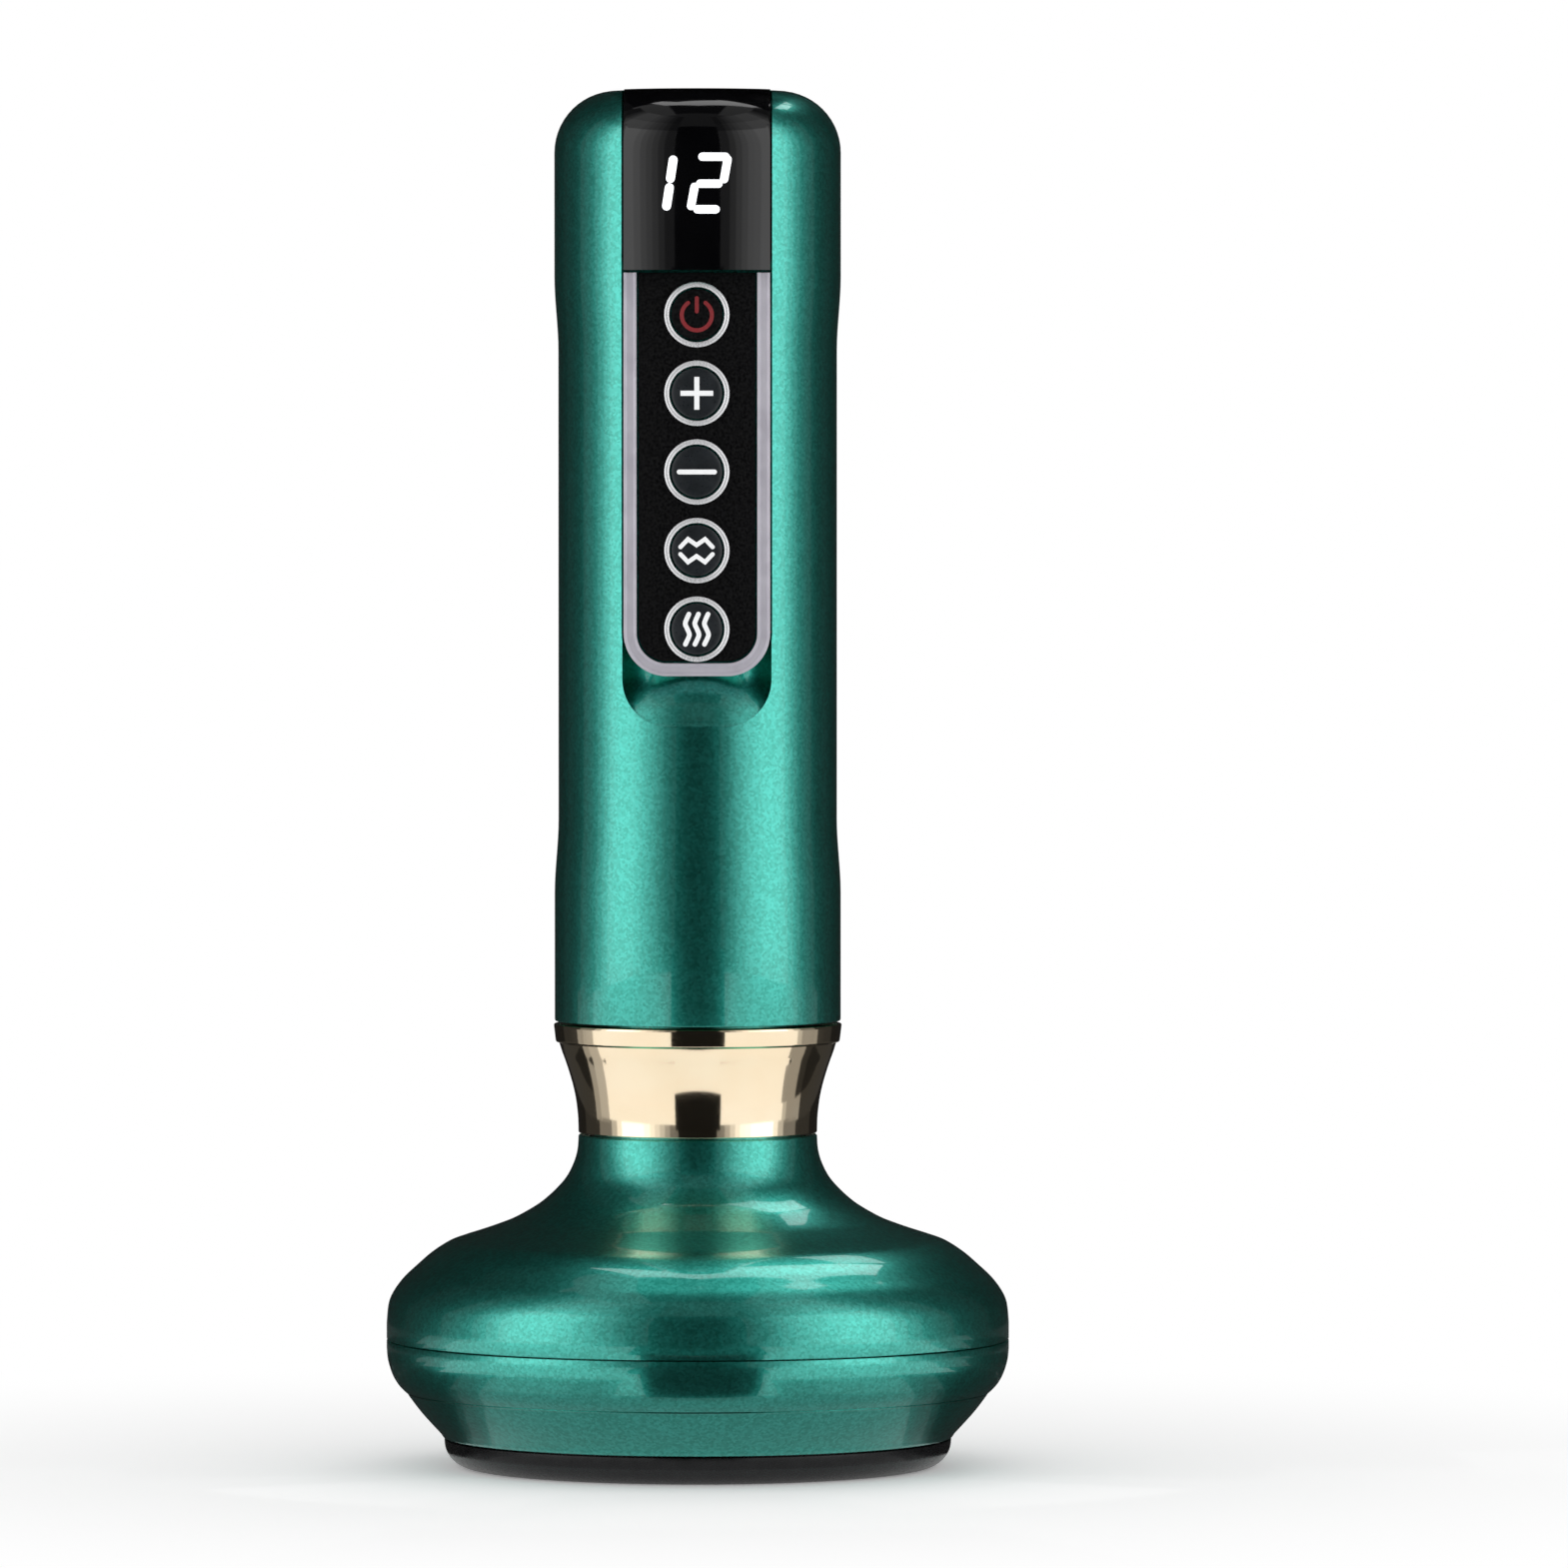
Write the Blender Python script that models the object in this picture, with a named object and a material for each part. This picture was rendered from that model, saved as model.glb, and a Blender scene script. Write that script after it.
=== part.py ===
"""Electric cupping massager: round handle with keypad and display, flared collar and suction head.

Metres, +Z up, the origin at the middle of the base. The keypad faces -Y. A depth is a distance in front
of the handle's axis, so a point at some depth lies at y = -depth.
"""

import math

import bmesh
import bpy
from mathutils import Matrix, Vector

# Clearances and facets
GAP = 0.0003
BALL_GAP = 0.00025
SWITCH_GAP = 0.0001
OVERRUN = 0.002
MERGE = 0.0000002
HEAD_SIDES = 36
HANDLE_SIDES = 32
BUTTON_SIDES = 14
SOCKET_SIDES = 12
SMALL_SIDES = 8
ROUND_STEPS = 4
BALL_RINGS = 7

# Head: black plate, green ring and bell cover
BASE_HEIGHT = 0.0043
BASE_RADIUS = 0.0391
BASE_EDGE_ROUND = 0.0041
BELLY_RADIUS = 0.048
BELLY_LOW_Z = 0.0179
SEAM_Z = 0.0197
BELLY_HIGH_Z = 0.0234
NECK_STEP = 0.002
NECK_TOP_Z = 0.0513
HEAD_WALL = 0.002
RING_OUTLINE_SHARES = ((0, 0), (0.11, 0.12), (0.42, 0.32), (0.75, 0.59), (0.93, 0.78), (1, 1))
BELL_OUTLINE_SHARES = (
    (1, 0), (0.985, 0.07), (0.912, 0.2), (0.79, 0.33), (0.66, 0.41), (0.51, 0.466), (0.34, 0.53),
    (0.226, 0.6), (0.145, 0.663), (0.084, 0.731), (0.02, 0.864), (0, 1),
)
BELL_INNER_SHARES = ((1, 0), (0.912, 0.2), (0.66, 0.41), (0.34, 0.53), (0.145, 0.663), (0, 0.86))

# Neck tube that the handle clamps
FLANGE_LEDGE = 0.0022
TUBE_WALL = 0.0022
FLANGE_INSET = 0.00085
TUBE_FLANGE_HEIGHT = 0.002

# Gold collar
COLLAR_PROUD = 0.00015
COLLAR_HEIGHT = 0.0169
COLLAR_BAND = 0.0021
COLLAR_OUTLINE_SHARES = (
    (0, 0), (0.03, 0.2), (0.1, 0.35), (0.19, 0.48), (0.33, 0.61), (0.55, 0.79), (0.87, 1),
)

# Handle shells
HANDLE_RADIUS = 0.02205
WAIST_INSET = 0.0006
HANDLE_WALL = 0.0026
HANDLE_TOP_Z = 0.212
TOP_ROUND = 0.0095
WAIST_RISE = 0.0312
WAIST_TOP_DROP = 0.04
WAIST_FADE = 0.0115
SHELL_LIP = 0.0041

# Keypad: flat panel, its trim and the thumb scoop below
PANEL_RISE = 0.0001
PANEL_THICKNESS = 0.0011
FLOOR_THICKNESS = 0.0015
TRIM_HALF_WIDTH = 0.0112
TRIM_STRIP = 0.002
TRIM_CORNER = 0.0066
TRIM_PROUD = 0.0004
TRIM_END = 0.0072
TRIM_TOP_GAP = 0.0004
SCOOP_LENGTH = 0.0075
SCOOP_MARGIN = 0.0004
SCOOP_BACKING = 0.0035
FLOOR_MARGIN = 0.0012

# Buttons
BUTTON_NAMES = ("power", "plus", "minus", "mode", "heat")
BUTTON_TOP_DROP = 0.0064
BUTTON_PITCH = 0.012
BUTTON_TRAVEL = 0.0004
CAP_RADIUS = 0.0039
CAP_CROWN = 0.0004
CROWN_SHARE = 0.75
CAP_PROUD = 0.0004
CAP_BACK_GAP = 0.0007
STEM_RADIUS = 0.0013
BEZEL_RIM = 0.0008
BEZEL_FLANGE = 0.0004
BEZEL_WALL = 0.0004

# Display window and display block
WINDOW_HEIGHT = 0.0277
WINDOW_PROUD = 0.00015
WINDOW_THICKNESS = 0.00135
DISPLAY_INSET = 0.0022
DISPLAY_HEIGHT = 0.0133
DISPLAY_RISE = 0.0035
DISPLAY_CLEAR = 0.0004

# Circuit board and switches
BOARD_SPACE = 0.0034
BOARD_THICKNESS = 0.0016
BOARD_HALF_WIDTH = 0.0085
BOARD_NARROW_HALF = 0.0049
BOARD_END = 0.0017
BOARD_STEP = 0.013
BOARD_TOP_DROP = 0.0045
SWITCH_HALF_WIDTH = 0.0022
SWITCH_BODY_HEIGHT = 0.0018
ACTUATOR_RADIUS = 0.0011
POST_RADIUS = 0.0012
POST_X = 0.0069
POST_PITCH_SHARES = (1, 3)

# Charging inlet in the top face
PORT_HALF_WIDTH = 0.0045
PORT_THICKNESS = 0.0032
PORT_LENGTH = 0.0074
PORT_RECESS = 0.0006
PORT_WALL = 0.0004
PORT_TONGUE = 0.0007

# Screws of the handle
SHELL_SCREW_DROP = 0.0075
BOSS_RADIUS = 0.0022
SEAT_RADIUS = 0.003
SCREW_HEAD_RADIUS = 0.0018
SCREW_HEAD_HEIGHT = 0.0012
SCREW_SHANK_RADIUS = 0.00075
SHELL_SCREW_LENGTH = 0.012
SEAT_STEP = 0.0018
BOSS_ROOT = 0.0012

# Battery and its cradle
CELL_RADIUS = 0.0092
CELL_RISE = 0.0075
CELL_TOP_DROP = 0.012
CELL_PIP_RADIUS = 0.003
CELL_PIP_HEIGHT = 0.0008
CRADLE_WALL = 0.0014
CRADLE_END = 0.0012
CELL_CRADLE_REACH = 0.001
MOTOR_CRADLE_REACH = 0.002

# Pump and its motor
MOTOR_FRONT_SPACE = 0.004
MOTOR_LENGTH = 0.0262
PUMP_RISE = 0.0102
PUMP_LENGTH = 0.022
PUMP_WALL = 0.0015
PUMP_FLOOR = 0.007
CAN_WALL = 0.0012
SHAFT_RADIUS = 0.001
MAGNET_SPACE = 0.0023
ARMATURE_LENGTH = 0.016
ECCENTRIC_RADIUS = 0.004
ECCENTRIC_THROW = 0.0013
ECCENTRIC_HEIGHT = 0.0042
ECCENTRIC_RISE = 0.0005
DIAPHRAGM_THICKNESS = 0.0017
DIAPHRAGM_BOSS_RADIUS = 0.004
DIAPHRAGM_BOSS_HEIGHT = 0.0043
NOZZLE_RADIUS = 0.0015
NOZZLE_LENGTH = 0.0045
AIR_WAY_RADIUS = 0.0007

# Hoses and the cable to the head
HOSE_BORE = 0.0018
HOSE_WALL = 0.0007
VALVE_HOSE_BEND = 0.005
CABLE_RADIUS = 0.0009
CABLE_X = 0.0038
CABLE_END_SHARE = 0.5
CABLE_SWAY = 0.0007
CABLE_STEPS = 12

# Contact plate, balls and retainer
BALL_COUNT = 8
BALL_RADIUS = 0.0044
BALL_INSET = 0.0099
BALL_CLEAR_Z = 0.00025
SOCKET_LIP_DROP = 0.002
SOCKET_FLARE = 0.00085
PLATE_TOP_Z = 0.0055
PLATE_INNER_SPACE = 0.0062
PLATE_LAND = 0.0011
PLATE_TROUGH = 0.0009
TROUGH_SLOPE = 0.0024
PLATE_SPIGOT_INSET = 0.0024
PILLAR_RADIUS = 0.0022
RETAINER_INSET = 0.0043
RETAINER_THICKNESS = 0.003
PILLAR_TURN_SHARES = (0.5, 3.5, 6.5)
PLATE_SCREW_LENGTH = 0.0075

# Head frame
FRAME_LOW_Z = 0.0136
FRAME_THICKNESS = 0.0015
FRAME_CLEAR = 0.0008
FRAME_INSET = 0.0046
LEDGE_THICKNESS = 0.0015
LEDGE_INSET = 0.01
TONGUE_WALL = 0.0013
TONGUE_LENGTH = 0.0025
HEAD_BOSS_CLEAR = 0.0004
HEAD_BOSS_RADIUS = 0.0026
HEAD_BOSS_TURN_SHARES = (1, 5)
HEAD_SCREW_LENGTH = 0.009

# Suction cup and what sits on it
CUP_LIP_WIDTH = 0.003
CUP_DEPTH = 0.0094
CUP_ROOF = 0.002
CUP_LIP_ROUND = 0.0004
CUP_FLANGE_THICKNESS = 0.0012
CUP_BOWL_SHARES = ((1, 0.06), (0.97, 0.64), (0.875, 0.9), (0.65, 1))
NIPPLE_LENGTH = 0.0051
VENT_X = -0.0043
VENT_INSET = 0.0039
GASKET_THICKNESS = 0.0008
GASKET_WIDTH = 0.0032
HEATER_INSET = 0.001
HEATER_THICKNESS = 0.0006
HEATER_HOLE_RADIUS = 0.003
SENSOR_RADIUS = 0.0015
SENSOR_HEIGHT = 0.0033
SENSOR_X = 0.008
SENSOR_Y = 0.006

# Release valve
VALVE_HALF_WIDTH = 0.005
VALVE_HEIGHT = 0.011
VALVE_SETBACK = 0.004
VALVE_INSET = 0.0117
VALVE_NOZZLE_Z = 0.0212
VALVE_NOZZLE_RADIUS = 0.0012
VALVE_NOZZLE_LENGTH = 0.0028
PLUNGER_RADIUS = 0.0021
PLUNGER_LENGTH_SHARE = 0.49
PLUNGER_TRAVEL = 0.0012
PLUNGER_RECESS = 0.0004

# Heights, depths and circles that follow from the sizes above
RING_LOW_Z = BASE_HEIGHT + GAP
COLLAR_LOW_Z = NECK_TOP_Z + GAP
COLLAR_TOP_Z = COLLAR_LOW_Z + COLLAR_HEIGHT
SHELL_LOW_Z = COLLAR_TOP_Z + GAP
SHELL_LIP_TOP_Z = SHELL_LOW_Z + SHELL_LIP
HANDLE_BORE = HANDLE_RADIUS - HANDLE_WALL
WAIST_RADIUS = HANDLE_RADIUS - WAIST_INSET
WAIST_LOW_Z = SHELL_LOW_Z + WAIST_RISE
WAIST_HIGH_Z = HANDLE_TOP_Z - WAIST_TOP_DROP
TUBE_FLANGE_RADIUS = HANDLE_BORE - FLANGE_INSET
TUBE_RADIUS = TUBE_FLANGE_RADIUS - FLANGE_LEDGE
TUBE_BORE = TUBE_RADIUS - TUBE_WALL
NECK_RADIUS = TUBE_RADIUS + NECK_STEP
COLLAR_TOP_RADIUS = HANDLE_RADIUS + COLLAR_PROUD
WINDOW_HALF_WIDTH = TRIM_HALF_WIDTH
WINDOW_LOW_Z = HANDLE_TOP_Z - WINDOW_HEIGHT
WINDOW_BACK_RADIUS = HANDLE_RADIUS + WINDOW_PROUD - WINDOW_THICKNESS
TRIM_HIGH_Z = WINDOW_LOW_Z - TRIM_TOP_GAP
BUTTON_TOP_Z = TRIM_HIGH_Z - BUTTON_TOP_DROP
TRIM_LOW_Z = BUTTON_TOP_Z - BUTTON_PITCH * (len(BUTTON_NAMES) - 1) - TRIM_END
BEZEL_RADIUS = CAP_RADIUS + GAP + BEZEL_RIM
PANEL_FACE_DEPTH = math.sqrt(WAIST_RADIUS ** 2 - TRIM_HALF_WIDTH ** 2) + PANEL_RISE
PANEL_BACK_DEPTH = PANEL_FACE_DEPTH - PANEL_THICKNESS
FLOOR_DEPTH = PANEL_BACK_DEPTH - GAP
FLOOR_BACK_DEPTH = FLOOR_DEPTH - FLOOR_THICKNESS
TRIM_FACE_DEPTH = PANEL_FACE_DEPTH + TRIM_PROUD
BEZEL_FACE_DEPTH = PANEL_FACE_DEPTH + GAP + BEZEL_FLANGE
CAP_FACE_DEPTH = PANEL_FACE_DEPTH + CAP_PROUD
CAP_BACK_DEPTH = FLOOR_DEPTH + CAP_BACK_GAP
BOARD_FACE_DEPTH = FLOOR_BACK_DEPTH - BOARD_SPACE
BOARD_BACK_DEPTH = BOARD_FACE_DEPTH - BOARD_THICKNESS
DISPLAY_HALF_WIDTH = WINDOW_HALF_WIDTH - DISPLAY_INSET
DISPLAY_LOW_Z = WINDOW_LOW_Z + DISPLAY_RISE
DISPLAY_FACE_DEPTH = math.sqrt(WINDOW_BACK_RADIUS ** 2 - DISPLAY_HALF_WIDTH ** 2) - DISPLAY_CLEAR
BOARD_LOW_Z = TRIM_LOW_Z + BOARD_END
BOARD_WIDE_LOW_Z = BOARD_LOW_Z + BOARD_STEP
BOARD_WIDE_HIGH_Z = DISPLAY_LOW_Z + DISPLAY_HEIGHT
BOARD_HIGH_Z = HANDLE_TOP_Z - BOARD_TOP_DROP
PORT_DEPTH = BOARD_BACK_DEPTH - GAP - PORT_THICKNESS
SHELL_SCREW_X = BOARD_NARROW_HALF + GAP + BOSS_RADIUS
SHELL_SCREW_Z = HANDLE_TOP_Z - SHELL_SCREW_DROP
CABLE_DEPTH = BOARD_BACK_DEPTH + BOARD_THICKNESS * CABLE_END_SHARE
SWITCH_BACK_DEPTH = BOARD_FACE_DEPTH + GAP
SWITCH_FACE_DEPTH = SWITCH_BACK_DEPTH + SWITCH_BODY_HEIGHT
STEM_END_DEPTH = FLOOR_BACK_DEPTH + BUTTON_TRAVEL
ACTUATOR_DEPTH = STEM_END_DEPTH - BUTTON_TRAVEL - SWITCH_GAP
SEAT_BACK_DEPTH = BOARD_FACE_DEPTH + GAP
HOLE_RADIUS = SCREW_SHANK_RADIUS + GAP
PUMP_LOW_Z = SHELL_LOW_Z + PUMP_RISE
MOTOR_LOW_Z = PUMP_LOW_Z + PUMP_LENGTH + GAP
MOTOR_SPACE = HANDLE_BORE - GAP - CRADLE_WALL - GAP + BOARD_BACK_DEPTH - MOTOR_FRONT_SPACE
MOTOR_RADIUS = MOTOR_SPACE / 2
ARMATURE_RADIUS = MOTOR_RADIUS - CAN_WALL - MAGNET_SPACE
CELL_LOW_Z = MOTOR_LOW_Z + MOTOR_LENGTH + CELL_RISE
CELL_LENGTH = HANDLE_TOP_Z - CELL_TOP_DROP - CELL_LOW_Z
CELL_CRADLE_RADIUS = CELL_RADIUS + GAP + CRADLE_WALL
CELL_Y = HANDLE_BORE - GAP - CELL_CRADLE_RADIUS
MOTOR_CRADLE_RADIUS = MOTOR_RADIUS + GAP + CRADLE_WALL
MOTOR_Y = HANDLE_BORE - GAP - MOTOR_CRADLE_RADIUS
CHAMBER_RADIUS = MOTOR_RADIUS - PUMP_WALL
CHAMBER_LOW_Z = PUMP_LOW_Z + PUMP_FLOOR
DIAPHRAGM_LOW_Z = CHAMBER_LOW_Z + GAP
ECCENTRIC_LOW_Z = DIAPHRAGM_LOW_Z + DIAPHRAGM_THICKNESS + DIAPHRAGM_BOSS_HEIGHT + ECCENTRIC_RISE
BALL_Z = BALL_CLEAR_Z + BALL_RADIUS
BALL_CIRCLE = BASE_RADIUS - BALL_INSET
PLATE_BORE = BALL_CIRCLE - PLATE_INNER_SPACE
RETAINER_RADIUS = BASE_RADIUS - RETAINER_INSET
CUP_MOUTH_RADIUS = PLATE_BORE - CUP_LIP_WIDTH
HEATER_RADIUS = CUP_MOUTH_RADIUS - HEATER_INSET
FRAME_BORE = TUBE_BORE + FRAME_CLEAR
FRAME_RADIUS = BELLY_RADIUS - FRAME_INSET
LEDGE_BORE = BELLY_RADIUS - LEDGE_INSET
HEAD_BOSS_CIRCLE = LEDGE_BORE - HEAD_BOSS_RADIUS - HEAD_BOSS_CLEAR
VENT_DEPTH = FRAME_BORE - VENT_INSET
VALVE_NEAR_DEPTH = FRAME_BORE + VALVE_SETBACK
VALVE_LENGTH = BELLY_RADIUS - VALVE_INSET - VALVE_NEAR_DEPTH
PLUNGER_LENGTH = VALVE_LENGTH * PLUNGER_LENGTH_SHARE
RETAINER_LOW_Z = PLATE_TOP_Z + GAP
RETAINER_HIGH_Z = RETAINER_LOW_Z + RETAINER_THICKNESS
GASKET_LOW_Z = RETAINER_HIGH_Z + GAP
CUP_FLANGE_LOW_Z = GASKET_LOW_Z + GASKET_THICKNESS + GAP
CUP_ROOF_Z = CUP_DEPTH + CUP_ROOF
HEATER_LOW_Z = CUP_ROOF_Z + GAP
HEATER_HIGH_Z = HEATER_LOW_Z + HEATER_THICKNESS
FRAME_HIGH_Z = FRAME_LOW_Z + FRAME_THICKNESS
LEDGE_LOW_Z = FRAME_HIGH_Z + GAP
LEDGE_HIGH_Z = LEDGE_LOW_Z + LEDGE_THICKNESS
PILLAR_TOP_Z = FRAME_LOW_Z - GAP
HOSE_RADIUS = HOSE_BORE + HOSE_WALL
CUP_FLANGE_RADIUS = BALL_CIRCLE - PILLAR_RADIUS - GAP
BALL_ANGLES = [math.tau / BALL_COUNT * index for index in range(BALL_COUNT)]
PILLAR_ANGLES = [math.tau / BALL_COUNT * share for share in PILLAR_TURN_SHARES]
HEAD_BOSS_ANGLES = [math.tau / BALL_COUNT * share for share in HEAD_BOSS_TURN_SHARES]

# A turned piece drawn about +Z faces forward, to -Y, after this turn
FORWARD = Matrix.Rotation(math.pi / 2, 4, "X")


def clear_scene():
    for thing in list(bpy.data.objects):
        bpy.data.objects.remove(thing, do_unlink=True)


def finish(name, colour, roughness, metallic=0.0):
    material = bpy.data.materials.new(name)
    material.use_nodes = True
    shader = material.node_tree.nodes["Principled BSDF"]
    shader.inputs["Base Color"].default_value = (*colour, 1.0)
    shader.inputs["Roughness"].default_value = roughness
    shader.inputs["Metallic"].default_value = metallic
    return material


def turned(outline, sides):
    """A closed solid, turned about Z from (radius, height) points."""
    shape = bmesh.new()
    points = [shape.verts.new((radius, 0, height)) for radius, height in outline]
    edges = []
    for start, end in zip(points, points[1:] + points[:1]):
        if max(start.co.x, end.co.x) > 0:
            edges.append(shape.edges.new((start, end)))
    bmesh.ops.spin(
        shape, geom=points + edges, axis=(0, 0, 1), cent=(0, 0, 0),
        angle=math.tau, steps=sides, use_merge=True,
    )
    bmesh.ops.remove_doubles(shape, verts=shape.verts, dist=MERGE)
    bmesh.ops.dissolve_degenerate(shape, edges=shape.edges, dist=MERGE)
    bmesh.ops.recalc_face_normals(shape, faces=shape.faces)
    return shape


def prism(outline, near, far):
    """A closed solid: the (x, z) outline run from one depth to another."""
    shape = bmesh.new()
    face = shape.faces.new([shape.verts.new((x, -near, z)) for x, z in outline])
    pushed = bmesh.ops.extrude_face_region(shape, geom=[face])
    moved = [part for part in pushed["geom"] if isinstance(part, bmesh.types.BMVert)]
    bmesh.ops.translate(shape, verts=moved, vec=(0, near - far, 0))
    bmesh.ops.recalc_face_normals(shape, faces=shape.faces)
    return shape


def side_prism(outline, half_width):
    """A closed solid: the (depth, z) outline run from one side to the other."""
    shape = bmesh.new()
    face = shape.faces.new([shape.verts.new((-half_width, -depth, z)) for depth, z in outline])
    pushed = bmesh.ops.extrude_face_region(shape, geom=[face])
    moved = [part for part in pushed["geom"] if isinstance(part, bmesh.types.BMVert)]
    bmesh.ops.translate(shape, verts=moved, vec=(2 * half_width, 0, 0))
    bmesh.ops.recalc_face_normals(shape, faces=shape.faces)
    return shape


def block(low_x, high_x, near, far, low_z, high_z):
    outline = ((low_x, low_z), (high_x, low_z), (high_x, high_z), (low_x, high_z))
    return prism(outline, near, far)


def rod(radius, low, high, sides, x=0.0, y=0.0):
    shape = turned(((0, low), (radius, low), (radius, high), (0, high)), sides)
    return moved(shape, Matrix.Translation((x, y, 0)))


def moved(shape, matrix):
    bmesh.ops.transform(shape, matrix=matrix, verts=shape.verts)
    return shape


def facing_forward(shape, x, z):
    """Turns a shape drawn about Z, with its heights as depths, to face -Y at (x, z)."""
    return moved(shape, Matrix.Translation((x, 0, z)) @ FORWARD)


def together(*shapes):
    """Several separate solids as one mesh."""
    whole = bmesh.new()
    for shape in shapes:
        mesh = bpy.data.meshes.new("loose")
        shape.to_mesh(mesh)
        shape.free()
        whole.from_mesh(mesh)
        bpy.data.meshes.remove(mesh)
    return whole


def arc(centre_x, centre_y, radius, start, end, steps):
    points = []
    for step in range(steps + 1):
        angle = start + (end - start) * step / steps
        points.append((centre_x + radius * math.cos(angle), centre_y + radius * math.sin(angle)))
    return points


def hose(points, radius, bore, sides):
    """A tube with an open bore, swept along the points."""
    shape = bmesh.new()
    rings = []
    for index, point in enumerate(points):
        before = points[max(index - 1, 0)]
        after = points[min(index + 1, len(points) - 1)]
        along = (after - before).normalized()
        steep = abs(along.z) >= abs(along.x) + abs(along.y)
        across = along.cross(Vector((1, 0, 0)) if steep else Vector((0, 0, 1)))
        across.normalize()
        upward = along.cross(across)
        pair = []
        for size in (radius, bore):
            ring = []
            for side in range(sides):
                angle = math.tau * side / sides
                outward = math.cos(angle) * across + math.sin(angle) * upward
                ring.append(shape.verts.new(point + size * outward))
            pair.append(ring)
        rings.append(pair)
    for first, second in zip(rings, rings[1:]):
        for level in (0, 1):
            for side in range(sides):
                after = (side + 1) % sides
                shape.faces.new((
                    first[level][side], first[level][after], second[level][after], second[level][side],
                ))
    for end in (rings[0], rings[-1]):
        for side in range(sides):
            after = (side + 1) % sides
            shape.faces.new((end[0][side], end[0][after], end[1][after], end[1][side]))
    bmesh.ops.recalc_face_normals(shape, faces=shape.faces)
    return shape


def node(name, shape, material, origin=(0, 0, 0)):
    """Makes the named object, with its origin on the given point."""
    mesh = bpy.data.meshes.new(name)
    moved(shape, Matrix.Translation(-Vector(origin)))
    shape.to_mesh(mesh)
    shape.free()
    mesh.materials.append(material)
    mesh.shade_smooth()
    mesh.set_sharp_from_angle(angle=math.radians(30))
    thing = bpy.data.objects.new(name, mesh)
    thing.location = origin
    bpy.context.scene.collection.objects.link(thing)
    return thing


def tool_body(label, shape):
    """A hidden body that only cuts or joins others."""
    mesh = bpy.data.meshes.new(label)
    shape.to_mesh(mesh)
    shape.free()
    tool = bpy.data.objects.new(label, mesh)
    tool.hide_render = True
    tool.display_type = "WIRE"
    bpy.context.scene.collection.objects.link(tool)
    return tool


def add_boolean(target, operation, tool):
    modifier = target.modifiers.new(tool.name, "BOOLEAN")
    modifier.operation = operation
    modifier.object = tool


def shaped(target, operation, shape):
    add_boolean(target, operation, tool_body(f"{target.name}_tool_{len(target.modifiers)}", shape))


def cut(target, shape):
    shaped(target, "DIFFERENCE", shape)


def fuse(target, shape):
    shaped(target, "UNION", shape)


def keep(target, shape):
    shaped(target, "INTERSECT", shape)


def outline_between(shares, inner, low, outer, high):
    """Points that run from (inner, low) to (outer, high) by their shares of both spans."""
    return [(inner + across * (outer - inner), low + along * (high - low)) for across, along in shares]


def screw(direction_up, seat, length):
    """One pan head screw on the Z axis: its head lies past the seat, its shank before it."""
    sign = 1 if direction_up else -1
    outline = [
        (0, seat - sign * length), (SCREW_SHANK_RADIUS, seat - sign * length),
        (SCREW_SHANK_RADIUS, seat), (SCREW_HEAD_RADIUS, seat),
        (SCREW_HEAD_RADIUS, seat + sign * SCREW_HEAD_HEIGHT), (0, seat + sign * SCREW_HEAD_HEIGHT),
    ]
    return turned(outline, SMALL_SIDES)


def around(shape_maker, circle, angles):
    """Copies of one solid, set round a circle."""
    return together(*(
        moved(shape_maker(), Matrix.Translation((circle * math.cos(angle), circle * math.sin(angle), 0)))
        for angle in angles
    ))


def handle_side(offset, low_z):
    """Outer side of the handle from low_z up and over the top rounding, pushed out by the offset."""
    corner_x = HANDLE_RADIUS - TOP_ROUND
    corner_z = HANDLE_TOP_Z - TOP_ROUND
    points = [(HANDLE_RADIUS + offset, low_z)]
    points += arc(corner_x, corner_z, TOP_ROUND + offset, 0, math.pi / 2, ROUND_STEPS)
    return points


def shell_body():
    """The whole handle shell, before it is parted into front and rear."""
    corner_x = HANDLE_RADIUS - TOP_ROUND
    corner_z = HANDLE_TOP_Z - TOP_ROUND
    outside = [
        (HANDLE_RADIUS, SHELL_LOW_Z), (HANDLE_RADIUS, WAIST_LOW_Z - WAIST_FADE),
        (WAIST_RADIUS, WAIST_LOW_Z), (WAIST_RADIUS, WAIST_HIGH_Z),
    ]
    outside += handle_side(0, WAIST_HIGH_Z + WAIST_FADE)
    inner_round = TOP_ROUND - (HANDLE_RADIUS - HANDLE_BORE)
    inside = arc(corner_x, corner_z, inner_round, math.pi / 2, 0, ROUND_STEPS - 1)
    lip_radius = TUBE_RADIUS + GAP
    outline = outside + [(0, HANDLE_TOP_Z), (0, corner_z + inner_round)] + inside
    outline += [(HANDLE_BORE, SHELL_LIP_TOP_Z), (lip_radius, SHELL_LIP_TOP_Z), (lip_radius, SHELL_LOW_Z)]
    return turned(outline, HANDLE_SIDES)


def half_space(front):
    """A block that holds one half of the handle, up to the parting gap."""
    near = GAP / 2
    far = HANDLE_RADIUS + OVERRUN
    reach = HANDLE_RADIUS + OVERRUN
    sign = 1 if front else -1
    return block(-reach, reach, sign * near, sign * far, SHELL_LOW_Z - OVERRUN, HANDLE_TOP_Z + OVERRUN)


def rounded_u(half_width, low_z, high_z, corner):
    """Outline with straight sides, a flat top and two rounded bottom corners."""
    corner_x = half_width - corner
    corner_z = low_z + corner
    points = [(half_width, high_z), (-half_width, high_z)]
    points += arc(-corner_x, corner_z, corner, math.pi, 1.5 * math.pi, ROUND_STEPS)
    points += arc(corner_x, corner_z, corner, 1.5 * math.pi, math.tau, ROUND_STEPS)
    return points


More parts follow.
